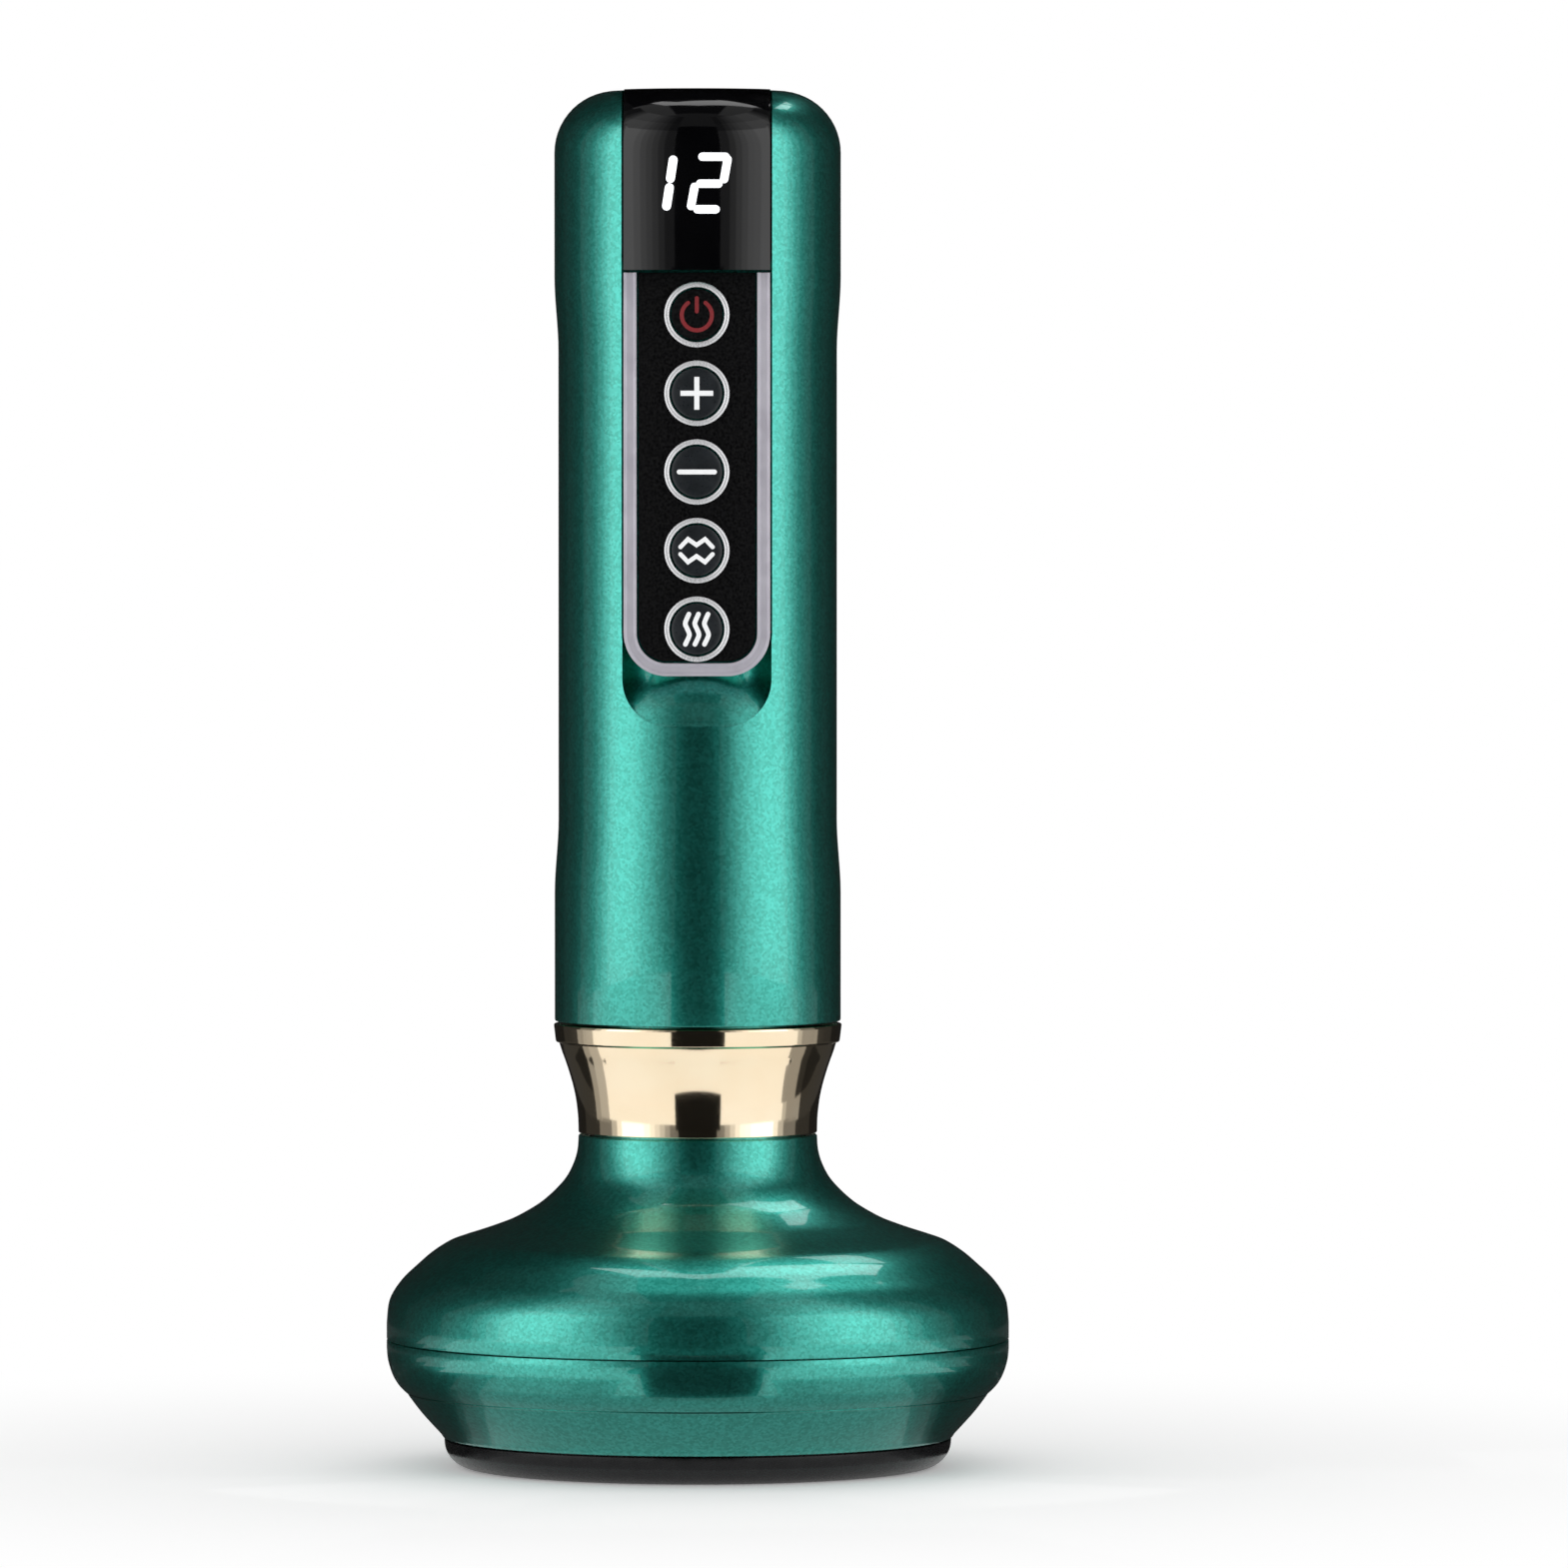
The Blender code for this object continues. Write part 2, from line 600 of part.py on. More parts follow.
def window_ring(inner_offset, outer_offset, low_z, end_gap):
    """Ring of the window's section: the handle's side between two offsets."""
    outer = handle_side(outer_offset, low_z)
    inner = handle_side(inner_offset, low_z)
    outer.append((outer[-1][0] - end_gap, outer[-1][1]))
    inner.append((inner[-1][0] - end_gap, inner[-1][1]))
    return turned(outer + inner[::-1], HANDLE_SIDES)


def button_heights():
    return [BUTTON_TOP_Z - BUTTON_PITCH * index for index in range(len(BUTTON_NAMES))]


def shell_screw_places():
    return [(-SHELL_SCREW_X, SHELL_SCREW_Z), (SHELL_SCREW_X, SHELL_SCREW_Z)]


def front_shell(paint):
    shell = node("front_shell", shell_body(), paint)
    keep(shell, half_space(True))
    # The keypad's floor and the thicker wall under the thumb scoop
    floor_half = TRIM_HALF_WIDTH + FLOOR_MARGIN
    scoop_low = TRIM_LOW_Z - SCOOP_LENGTH
    fuse(shell, block(
        -floor_half, floor_half, FLOOR_BACK_DEPTH, FLOOR_DEPTH + GAP / 2,
        scoop_low - FLOOR_MARGIN, WINDOW_LOW_Z + SCOOP_BACKING,
    ))
    backing = tool_body("front_shell_backing", block(
        -floor_half + GAP, floor_half - GAP, FLOOR_BACK_DEPTH + GAP, HANDLE_BORE + GAP,
        scoop_low - FLOOR_MARGIN / 2, TRIM_LOW_Z + TRIM_CORNER,
    ))
    keep(backing, rod(WAIST_RADIUS - SCOOP_MARGIN, SHELL_LOW_Z, WAIST_HIGH_Z, HANDLE_SIDES))
    add_boolean(shell, "UNION", backing)
    seat_top = FLOOR_BACK_DEPTH + SEAT_STEP
    seats = [facing_forward(rod(SEAT_RADIUS, SEAT_BACK_DEPTH, seat_top, SMALL_SIDES), x, z)
             for x, z in shell_screw_places()]
    fuse(shell, together(*seats))
    middle = BUTTON_TOP_Z + BUTTON_PITCH / 2
    post_ends = BOARD_FACE_DEPTH + GAP, FLOOR_BACK_DEPTH + GAP
    posts = [facing_forward(rod(POST_RADIUS, *post_ends, SMALL_SIDES), x, middle - BUTTON_PITCH * share)
             for share in POST_PITCH_SHARES for x in (-POST_X, POST_X)]
    fuse(shell, together(*posts))
    # Pockets for the keypad, the scoop and the window
    far = HANDLE_RADIUS + OVERRUN
    pocket = rounded_u(TRIM_HALF_WIDTH + GAP, TRIM_LOW_Z - GAP, WINDOW_LOW_Z, TRIM_CORNER + GAP)
    cut(shell, prism(pocket, FLOOR_DEPTH, far))
    scoop_floor = PANEL_FACE_DEPTH - GAP
    scoop_top = TRIM_LOW_Z + TRIM_CORNER
    scoop = tool_body("front_shell_scoop", side_prism(
        (
            (scoop_floor, scoop_top), (scoop_floor, TRIM_LOW_Z), (WAIST_RADIUS + SCOOP_MARGIN, scoop_low),
            (far, scoop_low), (far, scoop_top),
        ),
        TRIM_HALF_WIDTH + SCOOP_MARGIN,
    ))
    scoop_outline = rounded_u(TRIM_HALF_WIDTH + SCOOP_MARGIN / 2, scoop_low, WINDOW_LOW_Z, TRIM_CORNER)
    keep(scoop, prism(scoop_outline, 0, far + OVERRUN))
    add_boolean(shell, "DIFFERENCE", scoop)
    recess = tool_body("front_shell_recess", window_ring(
        -WINDOW_THICKNESS + WINDOW_PROUD - GAP, OVERRUN, WINDOW_LOW_Z - GAP, GAP,
    ))
    recess_half = WINDOW_HALF_WIDTH + GAP
    recess_top = HANDLE_TOP_Z + 2 * OVERRUN
    keep(recess, block(-recess_half, recess_half, 0, far + OVERRUN, WINDOW_LOW_Z - OVERRUN, recess_top))
    add_boolean(shell, "DIFFERENCE", recess)
    cut(shell, block(
        -DISPLAY_HALF_WIDTH - GAP, DISPLAY_HALF_WIDTH + GAP, FLOOR_BACK_DEPTH - OVERRUN, far,
        DISPLAY_LOW_Z - GAP, DISPLAY_LOW_Z + DISPLAY_HEIGHT + GAP,
    ))
    # Holes for the charging inlet, stems and screws
    cut(shell, block(
        -PORT_HALF_WIDTH - GAP, PORT_HALF_WIDTH + GAP, PORT_DEPTH - GAP, PORT_DEPTH + PORT_THICKNESS + GAP,
        HANDLE_TOP_Z - PORT_LENGTH, HANDLE_TOP_Z + OVERRUN,
    ))
    stems = [facing_forward(rod(STEM_RADIUS + GAP, FLOOR_BACK_DEPTH - OVERRUN, far, SMALL_SIDES), 0, z)
             for z in button_heights()]
    cut(shell, together(*stems))
    wells = []
    for x, z in shell_screw_places():
        seat = FLOOR_BACK_DEPTH - GAP
        outline = (
            (0, SEAT_BACK_DEPTH - OVERRUN), (HOLE_RADIUS, SEAT_BACK_DEPTH - OVERRUN), (HOLE_RADIUS, seat),
            (SCREW_HEAD_RADIUS + GAP, seat), (SCREW_HEAD_RADIUS + GAP, far), (0, far),
        )
        wells.append(facing_forward(turned(outline, SMALL_SIDES), x, z))
    cut(shell, together(*wells))


def rear_shell(paint):
    shell = node("rear_shell", shell_body(), paint)
    keep(shell, half_space(False))
    reach = math.sqrt(HANDLE_BORE ** 2 - SHELL_SCREW_X ** 2) + BOSS_ROOT
    front_end = BOARD_FACE_DEPTH
    bosses = [facing_forward(rod(BOSS_RADIUS, -reach, front_end, SMALL_SIDES), x, z)
              for x, z in shell_screw_places()]
    fuse(shell, together(*bosses))
    hole_end = front_end - SHELL_SCREW_LENGTH
    holes = [facing_forward(rod(HOLE_RADIUS, hole_end, front_end + OVERRUN, SMALL_SIDES), x, z)
             for x, z in shell_screw_places()]
    cut(shell, together(*holes))


def display_window(gloss):
    window = node("display_window", window_ring(
        -WINDOW_THICKNESS + WINDOW_PROUD, WINDOW_PROUD, WINDOW_LOW_Z, 0,
    ), gloss)
    far = HANDLE_RADIUS + 2 * OVERRUN
    keep(window, block(
        -WINDOW_HALF_WIDTH, WINDOW_HALF_WIDTH, 0, far, WINDOW_LOW_Z - OVERRUN, HANDLE_TOP_Z + OVERRUN,
    ))


def panel_trim(silver):
    outer = rounded_u(TRIM_HALF_WIDTH, TRIM_LOW_Z, TRIM_HIGH_Z, TRIM_CORNER)
    inner = rounded_u(
        TRIM_HALF_WIDTH - TRIM_STRIP, TRIM_LOW_Z + TRIM_STRIP, TRIM_HIGH_Z, TRIM_CORNER - TRIM_STRIP,
    )
    outline = outer[1:] + outer[:1] + inner[:1] + inner[:0:-1]
    node("panel_trim", prism(outline, PANEL_BACK_DEPTH, TRIM_FACE_DEPTH), silver)


def keypad_panel(matt):
    inset = TRIM_STRIP + GAP
    outline = rounded_u(TRIM_HALF_WIDTH - inset, TRIM_LOW_Z + inset, TRIM_HIGH_Z, TRIM_CORNER - inset)
    panel = node("keypad_panel", prism(outline, PANEL_BACK_DEPTH, PANEL_FACE_DEPTH), matt)
    hole = CAP_RADIUS + 2 * GAP + BEZEL_WALL
    holes = [facing_forward(rod(hole, FLOOR_DEPTH, TRIM_FACE_DEPTH, BUTTON_SIDES), 0, z)
             for z in button_heights()]
    cut(panel, together(*holes))


def buttons(silver, cap_black):
    bore = CAP_RADIUS + GAP
    bezel_outline = (
        (bore, PANEL_BACK_DEPTH), (bore + BEZEL_WALL, PANEL_BACK_DEPTH),
        (bore + BEZEL_WALL, PANEL_FACE_DEPTH + GAP), (BEZEL_RADIUS, PANEL_FACE_DEPTH + GAP),
        (BEZEL_RADIUS, BEZEL_FACE_DEPTH), (bore, BEZEL_FACE_DEPTH),
    )
    cap_outline = (
        (0, STEM_END_DEPTH), (STEM_RADIUS, STEM_END_DEPTH), (STEM_RADIUS, CAP_BACK_DEPTH),
        (CAP_RADIUS, CAP_BACK_DEPTH), (CAP_RADIUS, CAP_FACE_DEPTH),
        (CAP_RADIUS / 2, CAP_FACE_DEPTH + CAP_CROWN * CROWN_SHARE), (0, CAP_FACE_DEPTH + CAP_CROWN),
    )
    for name, z in zip(BUTTON_NAMES, button_heights()):
        node(f"bezel_{name}", facing_forward(turned(bezel_outline, BUTTON_SIDES), 0, z), silver)
        origin = (0, -PANEL_FACE_DEPTH, z)
        node(f"cap_{name}", facing_forward(turned(cap_outline, BUTTON_SIDES), 0, z), cap_black, origin)


def electronics(board_green, switch_black, display_black, tin):
    wide, narrow = BOARD_HALF_WIDTH, BOARD_NARROW_HALF
    outline = (
        (-narrow, BOARD_LOW_Z), (narrow, BOARD_LOW_Z), (narrow, BOARD_WIDE_LOW_Z), (wide, BOARD_WIDE_LOW_Z),
        (wide, BOARD_WIDE_HIGH_Z), (narrow, BOARD_WIDE_HIGH_Z), (narrow, BOARD_HIGH_Z),
        (-narrow, BOARD_HIGH_Z), (-narrow, BOARD_WIDE_HIGH_Z), (-wide, BOARD_WIDE_HIGH_Z),
        (-wide, BOARD_WIDE_LOW_Z), (-narrow, BOARD_WIDE_LOW_Z),
    )
    node("control_board", prism(outline, BOARD_BACK_DEPTH, BOARD_FACE_DEPTH), board_green)
    half = SWITCH_HALF_WIDTH
    for name, z in zip(BUTTON_NAMES, button_heights()):
        body = block(-half, half, SWITCH_BACK_DEPTH, SWITCH_FACE_DEPTH, z - half, z + half)
        switch = node(f"switch_{name}", body, switch_black)
        fuse(switch, facing_forward(
            rod(ACTUATOR_RADIUS, SWITCH_FACE_DEPTH - GAP, ACTUATOR_DEPTH, SMALL_SIDES), 0, z,
        ))
    node("display_module", block(
        -DISPLAY_HALF_WIDTH, DISPLAY_HALF_WIDTH, BOARD_FACE_DEPTH + GAP, DISPLAY_FACE_DEPTH,
        DISPLAY_LOW_Z, DISPLAY_LOW_Z + DISPLAY_HEIGHT,
    ), display_black)
    port_high = HANDLE_TOP_Z - PORT_RECESS
    port_low = port_high - PORT_LENGTH
    far = PORT_DEPTH + PORT_THICKNESS
    port = node("charging_port", block(
        -PORT_HALF_WIDTH, PORT_HALF_WIDTH, PORT_DEPTH, far, port_low, port_high,
    ), tin)
    inner = PORT_HALF_WIDTH - PORT_WALL
    cut(port, block(
        -inner, inner, PORT_DEPTH + PORT_WALL, far - PORT_WALL, port_low + PORT_WALL, port_high + OVERRUN,
    ))
    middle = PORT_DEPTH + PORT_THICKNESS / 2
    tongue_half = PORT_HALF_WIDTH - 3 * PORT_WALL
    fuse(port, block(
        -tongue_half, tongue_half, middle - PORT_TONGUE / 2, middle + PORT_TONGUE / 2,
        port_low + PORT_WALL / 2, port_high - 2 * PORT_WALL,
    ))


def trough(name, y, radius, low_z, high_z, reach, material):
    """A cradle: the rear part of a tube with two end walls, open to the front."""
    outer = radius + GAP + CRADLE_WALL
    low, high = low_z - GAP - CRADLE_END, high_z + GAP + CRADLE_END
    cradle = node(name, rod(outer, low, high, HANDLE_SIDES, 0, y), material)
    cut(cradle, rod(radius + GAP, low_z - GAP, high_z + GAP, HANDLE_SIDES, 0, y))
    cut(cradle, block(
        -outer - OVERRUN, outer + OVERRUN, reach - y, outer + OVERRUN, low - OVERRUN, high + OVERRUN,
    ))


def battery(wrap, cradle_grey):
    high = CELL_LOW_Z + CELL_LENGTH - CELL_PIP_HEIGHT
    outline = (
        (0, CELL_LOW_Z), (CELL_RADIUS, CELL_LOW_Z), (CELL_RADIUS, high), (CELL_PIP_RADIUS, high),
        (CELL_PIP_RADIUS, high + CELL_PIP_HEIGHT), (0, high + CELL_PIP_HEIGHT),
    )
    cell = turned(outline, HANDLE_SIDES // 2)
    node("battery_cell", moved(cell, Matrix.Translation((0, CELL_Y, 0))), wrap)
    trough(
        "battery_cradle", CELL_Y, CELL_RADIUS, CELL_LOW_Z, CELL_LOW_Z + CELL_LENGTH, CELL_CRADLE_REACH,
        cradle_grey,
    )


def pump(steel, pump_white, rubber, cradle_grey):
    at_motor = Matrix.Translation((0, MOTOR_Y, 0))
    sides = HANDLE_SIDES // 2
    low, high = MOTOR_LOW_Z, MOTOR_LOW_Z + MOTOR_LENGTH
    inner = MOTOR_RADIUS - CAN_WALL
    shaft_hole = SHAFT_RADIUS + GAP
    can = turned((
        (shaft_hole, low), (MOTOR_RADIUS, low), (MOTOR_RADIUS, high), (0, high), (0, high - CAN_WALL),
        (inner, high - CAN_WALL), (inner, low + CAN_WALL), (shaft_hole, low + CAN_WALL),
    ), sides)
    node("motor_can", moved(can, at_motor), steel)
    shaft_top = high - CAN_WALL - GAP
    armature_low = (low + high - ARMATURE_LENGTH) / 2
    armature_high = armature_low + ARMATURE_LENGTH
    shaft_foot = ECCENTRIC_LOW_Z + ECCENTRIC_HEIGHT / 2
    rotor_outline = (
        (0, shaft_foot), (SHAFT_RADIUS, shaft_foot), (SHAFT_RADIUS, armature_low),
        (ARMATURE_RADIUS, armature_low), (ARMATURE_RADIUS, armature_high), (SHAFT_RADIUS, armature_high),
        (SHAFT_RADIUS, shaft_top), (0, shaft_top),
    )
    rotor_origin = (0, MOTOR_Y, ECCENTRIC_LOW_Z)
    rotor = node("motor_rotor", moved(turned(rotor_outline, sides), at_motor), steel, rotor_origin)
    eccentric_high = ECCENTRIC_LOW_Z + ECCENTRIC_HEIGHT
    fuse(rotor, rod(ECCENTRIC_RADIUS, ECCENTRIC_LOW_Z, eccentric_high, sides, ECCENTRIC_THROW, MOTOR_Y))
    pump_top = PUMP_LOW_Z + PUMP_LENGTH
    body = turned((
        (0, PUMP_LOW_Z), (MOTOR_RADIUS, PUMP_LOW_Z), (MOTOR_RADIUS, pump_top), (CHAMBER_RADIUS, pump_top),
        (CHAMBER_RADIUS, CHAMBER_LOW_Z), (0, CHAMBER_LOW_Z),
    ), sides)
    housing = node("pump_body", moved(body, at_motor), pump_white)
    fuse(housing, rod(NOZZLE_RADIUS, PUMP_LOW_Z - NOZZLE_LENGTH, PUMP_LOW_Z + OVERRUN, SMALL_SIDES))
    cut(housing, rod(AIR_WAY_RADIUS, PUMP_LOW_Z - 2 * NOZZLE_LENGTH, CHAMBER_LOW_Z + OVERRUN, SMALL_SIDES))
    face = DIAPHRAGM_LOW_Z + DIAPHRAGM_THICKNESS
    diaphragm = turned((
        (0, DIAPHRAGM_LOW_Z), (CHAMBER_RADIUS - GAP, DIAPHRAGM_LOW_Z), (CHAMBER_RADIUS - GAP, face),
        (DIAPHRAGM_BOSS_RADIUS, face), (DIAPHRAGM_BOSS_RADIUS, face + DIAPHRAGM_BOSS_HEIGHT),
        (0, face + DIAPHRAGM_BOSS_HEIGHT),
    ), sides)
    node("pump_diaphragm", moved(diaphragm, at_motor), rubber)
    trough("motor_cradle", MOTOR_Y, MOTOR_RADIUS, PUMP_LOW_Z, high, MOTOR_CRADLE_REACH, cradle_grey)
    bottom = Vector((0, 0, HEATER_HIGH_Z + GAP))
    top = Vector((0, 0, PUMP_LOW_Z - GAP))
    node("pump_hose", hose([bottom, top], HOSE_RADIUS, HOSE_BORE, SMALL_SIDES + 2), rubber)


def signal_cable(jacket):
    """The wires from the board to the heating disc, swaying slightly on their way down the neck."""
    low = HEATER_HIGH_Z + GAP
    high = BOARD_LOW_Z - GAP
    curve = bpy.data.curves.new("signal_cable", "CURVE")
    curve.dimensions = "3D"
    curve.bevel_depth = CABLE_RADIUS
    curve.bevel_resolution = 2
    curve.use_fill_caps = True
    line = curve.splines.new("POLY")
    line.points.add(CABLE_STEPS)
    for step, point in enumerate(line.points):
        share = step / CABLE_STEPS
        sway = CABLE_SWAY * math.sin(math.tau * share) * math.sin(math.pi * share)
        point.co = (CABLE_X + sway, -CABLE_DEPTH, low + share * (high - low), 1)
    curve.materials.append(jacket)
    thing = bpy.data.objects.new("signal_cable", curve)
    bpy.context.scene.collection.objects.link(thing)


def shell_screws(steel):
    seat = FLOOR_BACK_DEPTH
    for side, (x, z) in zip(("left", "right"), shell_screw_places()):
        node(f"shell_screw_{side}", facing_forward(screw(True, seat, SHELL_SCREW_LENGTH), x, z), steel)


def gold_collar(gold):
    bore = TUBE_RADIUS + GAP
    band_low = COLLAR_TOP_Z - COLLAR_BAND
    outline = outline_between(COLLAR_OUTLINE_SHARES, NECK_RADIUS, COLLAR_LOW_Z, COLLAR_TOP_RADIUS, band_low)
    outline += [(COLLAR_TOP_RADIUS, band_low), (COLLAR_TOP_RADIUS, COLLAR_TOP_Z)]
    outline += [(bore, COLLAR_TOP_Z), (bore, COLLAR_LOW_Z)]
    node("gold_collar", turned(outline, HANDLE_SIDES), gold)


def bell_height(radius):
    """Height of the bell cover's outer side at a radius."""
    points = outline_between(BELL_OUTLINE_SHARES, NECK_RADIUS, BELLY_HIGH_Z, BELLY_RADIUS, NECK_TOP_Z)
    for (outer, low), (inner, high) in zip(points, points[1:]):
        if inner <= radius <= outer:
            return low + (high - low) * (outer - radius) / (outer - inner)
    return BELLY_HIGH_Z


def head_upper_cover(paint):
    low = SEAM_Z + GAP / 2
    flange_low = SHELL_LIP_TOP_Z + GAP
    flange_top = flange_low + TUBE_FLANGE_HEIGHT
    wall_radius = BELLY_RADIUS - HEAD_WALL
    tongue = wall_radius - GAP
    outside = [(BELLY_RADIUS, low)]
    outside += outline_between(BELL_OUTLINE_SHARES, NECK_RADIUS, BELLY_HIGH_Z, BELLY_RADIUS, NECK_TOP_Z)
    neck = [
        (TUBE_RADIUS, NECK_TOP_Z), (TUBE_RADIUS, flange_low), (TUBE_FLANGE_RADIUS, flange_low),
        (TUBE_FLANGE_RADIUS, flange_top), (TUBE_BORE, flange_top),
    ]
    inside = outline_between(
        BELL_INNER_SHARES, TUBE_BORE, BELLY_HIGH_Z - HEAD_WALL, wall_radius - TONGUE_WALL,
        NECK_TOP_Z - HEAD_WALL,
    )[::-1]
    tongue_low = SEAM_Z - TONGUE_LENGTH
    skirt = [(wall_radius - TONGUE_WALL, tongue_low), (tongue, tongue_low), (tongue, low)]
    cover = node("head_upper_cover", turned(outside + neck + inside + skirt, HEAD_SIDES), paint)
    top = bell_height(HEAD_BOSS_CIRCLE + HEAD_BOSS_RADIUS) - HEAD_WALL / 2
    fuse(cover, around(
        lambda: rod(HEAD_BOSS_RADIUS, LEDGE_LOW_Z, top, SMALL_SIDES), HEAD_BOSS_CIRCLE, HEAD_BOSS_ANGLES,
    ))
    cut(cover, around(
        lambda: rod(HOLE_RADIUS, LEDGE_LOW_Z - OVERRUN, LEDGE_LOW_Z + HEAD_SCREW_LENGTH, SMALL_SIDES),
        HEAD_BOSS_CIRCLE, HEAD_BOSS_ANGLES,
    ))


def head_lower_ring(paint):
    outside = outline_between(RING_OUTLINE_SHARES, BASE_RADIUS, RING_LOW_Z, BELLY_RADIUS, BELLY_LOW_Z)
    top = SEAM_Z - GAP / 2
    inner = BELLY_RADIUS - HEAD_WALL
    rim = [
        (BELLY_RADIUS, top), (inner, top), (inner, LEDGE_HIGH_Z), (LEDGE_BORE, LEDGE_HIGH_Z),
        (LEDGE_BORE, LEDGE_LOW_Z),
    ]
    inside = [(radius - HEAD_WALL, z) for radius, z in outside if z < FRAME_LOW_Z][::-1]
    under = [(FRAME_RADIUS + GAP + GAP, LEDGE_LOW_Z)]
    ring = node("head_lower_ring", turned(outside + rim + under + inside, HEAD_SIDES), paint)
    # Room for the heads of the frame's screws, should the ledge reach them
    cut(ring, around(
        lambda: rod(SCREW_HEAD_RADIUS + GAP, LEDGE_LOW_Z - OVERRUN, LEDGE_HIGH_Z + OVERRUN, SMALL_SIDES),
        BALL_CIRCLE, PILLAR_ANGLES,
    ))


def head_frame(grey):
    frame = node("head_frame", turned((
        (FRAME_BORE, FRAME_LOW_Z), (FRAME_RADIUS, FRAME_LOW_Z), (FRAME_RADIUS, FRAME_HIGH_Z),
        (FRAME_BORE, FRAME_HIGH_Z),
    ), HEAD_SIDES), grey)

    def hole():
        return rod(HOLE_RADIUS, FRAME_LOW_Z - OVERRUN, FRAME_HIGH_Z + OVERRUN, SMALL_SIDES)

    cut(frame, around(hole, HEAD_BOSS_CIRCLE, HEAD_BOSS_ANGLES))
    cut(frame, around(hole, BALL_CIRCLE, PILLAR_ANGLES))


def ball_socket():
    """Space round one ball: a flared mouth, the lip that holds the ball and a straight bore."""
    lip_z = BALL_Z - SOCKET_LIP_DROP
    lip = math.sqrt(BALL_RADIUS ** 2 - SOCKET_LIP_DROP ** 2) + BALL_GAP
    bore = BALL_RADIUS + GAP
    mouth = lip + SOCKET_FLARE * (lip_z + OVERRUN) / (lip_z - PLATE_TROUGH)
    return turned((
        (0, -OVERRUN), (mouth, -OVERRUN), (lip, lip_z), (bore, lip_z + BALL_GAP + SOCKET_LIP_DROP / 2),
        (bore, PLATE_TOP_Z + OVERRUN), (0, PLATE_TOP_Z + OVERRUN),
    ), SOCKET_SIDES)


def contact_plate(matt):
    foot = BASE_RADIUS - BASE_EDGE_ROUND
    spigot = BASE_RADIUS - PLATE_SPIGOT_INSET
    land = PLATE_BORE + PLATE_LAND
    edge = arc(foot, BASE_EDGE_ROUND, BASE_EDGE_ROUND, -math.pi / 2, 0, ROUND_STEPS)
    outline = [(PLATE_BORE, 0), (land, 0), (land + TROUGH_SLOPE, PLATE_TROUGH)]
    outline += [(foot - PLATE_LAND - TROUGH_SLOPE, PLATE_TROUGH), (foot - PLATE_LAND, 0)] + edge
    outline += [(BASE_RADIUS, BASE_HEIGHT), (spigot, BASE_HEIGHT)]
    outline += [(spigot, PLATE_TOP_Z), (PLATE_BORE, PLATE_TOP_Z)]
    plate = node("contact_plate", turned(outline, HEAD_SIDES), matt)
    fuse(plate, around(
        lambda: rod(PILLAR_RADIUS, PLATE_TOP_Z - PLATE_LAND, PILLAR_TOP_Z, SMALL_SIDES),
        BALL_CIRCLE, PILLAR_ANGLES,
    ))
    cut(plate, around(ball_socket, BALL_CIRCLE, BALL_ANGLES))
    cut(plate, around(
        lambda: rod(HOLE_RADIUS, PILLAR_TOP_Z - PLATE_SCREW_LENGTH, PILLAR_TOP_Z + OVERRUN, SMALL_SIDES),
        BALL_CIRCLE, PILLAR_ANGLES,
    ))


def ball_retainer(grey):
    inner = PLATE_BORE + GAP
    ring = node("ball_retainer", turned((
        (inner, RETAINER_LOW_Z), (RETAINER_RADIUS, RETAINER_LOW_Z), (RETAINER_RADIUS, RETAINER_HIGH_Z),
        (inner, RETAINER_HIGH_Z),
    ), HEAD_SIDES), grey)
    ball_top = math.sqrt(BALL_RADIUS ** 2 - (RETAINER_HIGH_Z - BALL_Z) ** 2) + GAP
    low = BALL_RADIUS + GAP / 2
    middle_z = RETAINER_LOW_Z + RETAINER_THICKNESS / 2
    middle = math.sqrt(BALL_RADIUS ** 2 - (middle_z - BALL_Z) ** 2) + 2 * GAP
    cut(ring, around(
        lambda: turned((
            (0, RETAINER_LOW_Z - OVERRUN), (low, RETAINER_LOW_Z - OVERRUN), (low, RETAINER_LOW_Z),
            (middle, middle_z), (ball_top, RETAINER_HIGH_Z), (ball_top, RETAINER_HIGH_Z + OVERRUN),
            (0, RETAINER_HIGH_Z + OVERRUN),
        ), SOCKET_SIDES),
        BALL_CIRCLE, BALL_ANGLES,
    ))
    cut(ring, around(
        lambda: rod(PILLAR_RADIUS + GAP, RETAINER_LOW_Z - OVERRUN, RETAINER_HIGH_Z + OVERRUN, SMALL_SIDES),
        BALL_CIRCLE, PILLAR_ANGLES,
    ))


def massage_balls(steel):
    for index, angle in enumerate(BALL_ANGLES):
        centre = (BALL_CIRCLE * math.cos(angle), BALL_CIRCLE * math.sin(angle), BALL_Z)
        shape = bmesh.new()
        bmesh.ops.create_uvsphere(shape, u_segments=SOCKET_SIDES, v_segments=BALL_RINGS, radius=BALL_RADIUS)
        node(f"massage_ball_{index + 1}", moved(shape, Matrix.Translation(centre)), steel, centre)


def head_screws(steel):
    for index, angle in enumerate(HEAD_BOSS_ANGLES):
        upward = around(
            lambda: screw(False, FRAME_LOW_Z - GAP, HEAD_SCREW_LENGTH), HEAD_BOSS_CIRCLE, [angle],
        )
        node(f"head_screw_{index + 1}", upward, steel)
    for index, angle in enumerate(PILLAR_ANGLES):
        downward = around(
            lambda: screw(True, FRAME_HIGH_Z + GAP, PLATE_SCREW_LENGTH), BALL_CIRCLE, [angle],
        )
        node(f"frame_screw_{index + 1}", downward, steel)


